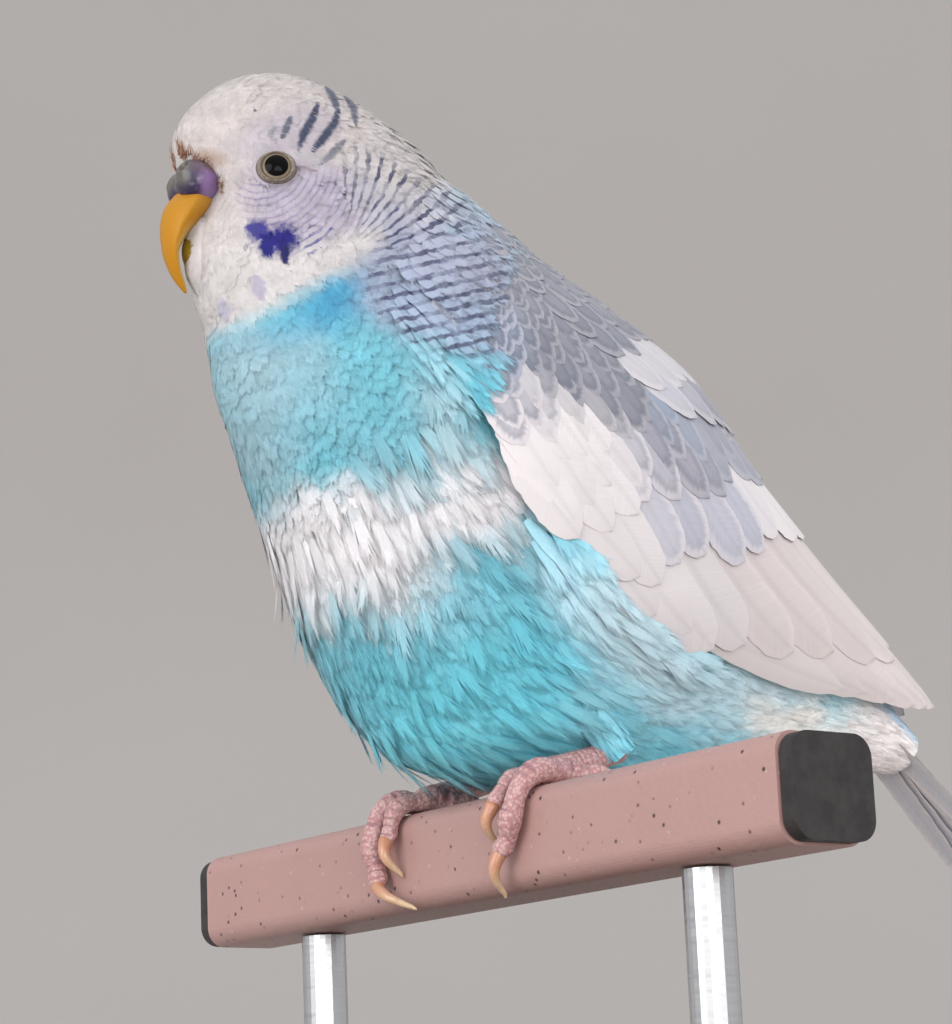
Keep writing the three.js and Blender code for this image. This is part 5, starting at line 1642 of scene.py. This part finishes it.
def dress_stand():
    """The rail, its plugs and the stand keep their own solids."""
    plug = plain_material("plug_plastic", (0.03, 0.025, 0.025), (0.015, 0.012, 0.012), 300.0, 0.6)
    steel = steel_material()
    looks = dict(perch_rail=rail_material(), perch_plug_left=plug, perch_plug_right=plug,
                 stand_base=wood_material(), stand_rod_left=steel, stand_rod_right=steel)
    for node, material in looks.items():
        paint(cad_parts[node], material)


# Stage

# The floor and its rounded rise behind the bird, in metres, and its turn towards the camera in degrees.
FLOOR = dict(depth=3.0, height=3.0, width=4.0, radius=0.9, turn=53)
# Round lamps: place and size in metres, and power.
LAMPS = [
    ("key", (0.15, -1.0, 0.38), 0.8, 5.8),
    ("fill", (1.0, -0.45, 0.04), 0.9, 7.6),
    ("rim", (0.3, 0.9, 0.8), 0.7, 2.8),
]
LAMP_TARGET = Vector((0, 0, 0.10))


def make_floor():
    n = Nodes("floor_paint", roughness=0.8)
    n.set("Base Color", n.blend(n.noise(3.0, 2.0), (0.60, 0.56, 0.53), (0.63, 0.59, 0.56)))
    far, radius = FLOOR["depth"], FLOOR["radius"]
    profile = [(-far, 0.0)]
    profile += [(far - radius + radius * math.sin(a), radius - radius * math.cos(a))
                for a in np.linspace(0, math.pi / 2, 24)]
    profile.append((far, FLOOR["height"]))
    points = [(x, y, z) for y, z in profile for x in (-FLOOR["width"], FLOOR["width"])]
    mesh = bpy.data.meshes.new("floor")
    mesh.from_pydata(points, [], grid_faces(len(profile), 2).tolist())
    mesh.polygons.foreach_set("use_smooth", np.full(len(mesh.polygons), True))
    floor = link(bpy.data.objects.new("floor", mesh))
    floor.rotation_euler.z = math.radians(FLOOR["turn"])
    paint(floor, n.material)


def make_camera():
    place, ahead, right, up = camera_axes()
    camera = link(bpy.data.objects.new("camera", bpy.data.cameras.new("camera")))
    camera.data.lens = CAMERA["lens"]
    camera.data.sensor_width = PHOTO["sensor"]
    camera.data.clip_start = 0.01
    rows = [(right[i], up[i], -ahead[i], place[i] * MM) for i in range(3)]
    camera.matrix_world = Matrix(rows + [(0, 0, 0, 1)])
    bpy.context.scene.camera = camera


def make_light():
    for name, spot, size, power in LAMPS:
        lamp = link(bpy.data.objects.new(name, bpy.data.lights.new(name, "AREA")))
        lamp.data.shape = "DISK"
        lamp.data.size = size
        lamp.data.energy = power
        lamp.location = spot
        lamp.rotation_euler = (LAMP_TARGET - Vector(spot)).to_track_quat("-Z", "Y").to_euler()
    world = bpy.data.worlds.new("studio")
    world.use_nodes = True
    sky = world.node_tree.nodes["Background"]
    sky.inputs["Color"].default_value = (0.9, 0.92, 0.95, 1)
    sky.inputs["Strength"].default_value = 0.84
    bpy.context.scene.world = world
    bpy.context.scene.view_settings.view_transform = "Standard"


dress_body()
dress_wings()
dress_tail()
dress_cere()
dress_bristles()
yellow = bill_material("bill_horn", (0.46, 0.20, 0.001), (0.43, 0.19, 0.006))
bill_mesh("bill_horn_upper", BILL_UPPER, 60, 56, yellow, "bill_upper")
# The lower bill is painted darker than the upper one: partly its own colour, partly painted shade, as it lies
# under the upper bill.
olive_and_shade = bill_material("bill_olive_shaded", (0.24, 0.17, 0.02), (0.17, 0.12, 0.02))
bill_mesh("bill_horn_lower", BILL_LOWER, 30, 40, olive_and_shade, "bill_lower")
dress_eyes()
dress_feet()
dress_stand()
make_floor()
make_camera()
make_light()
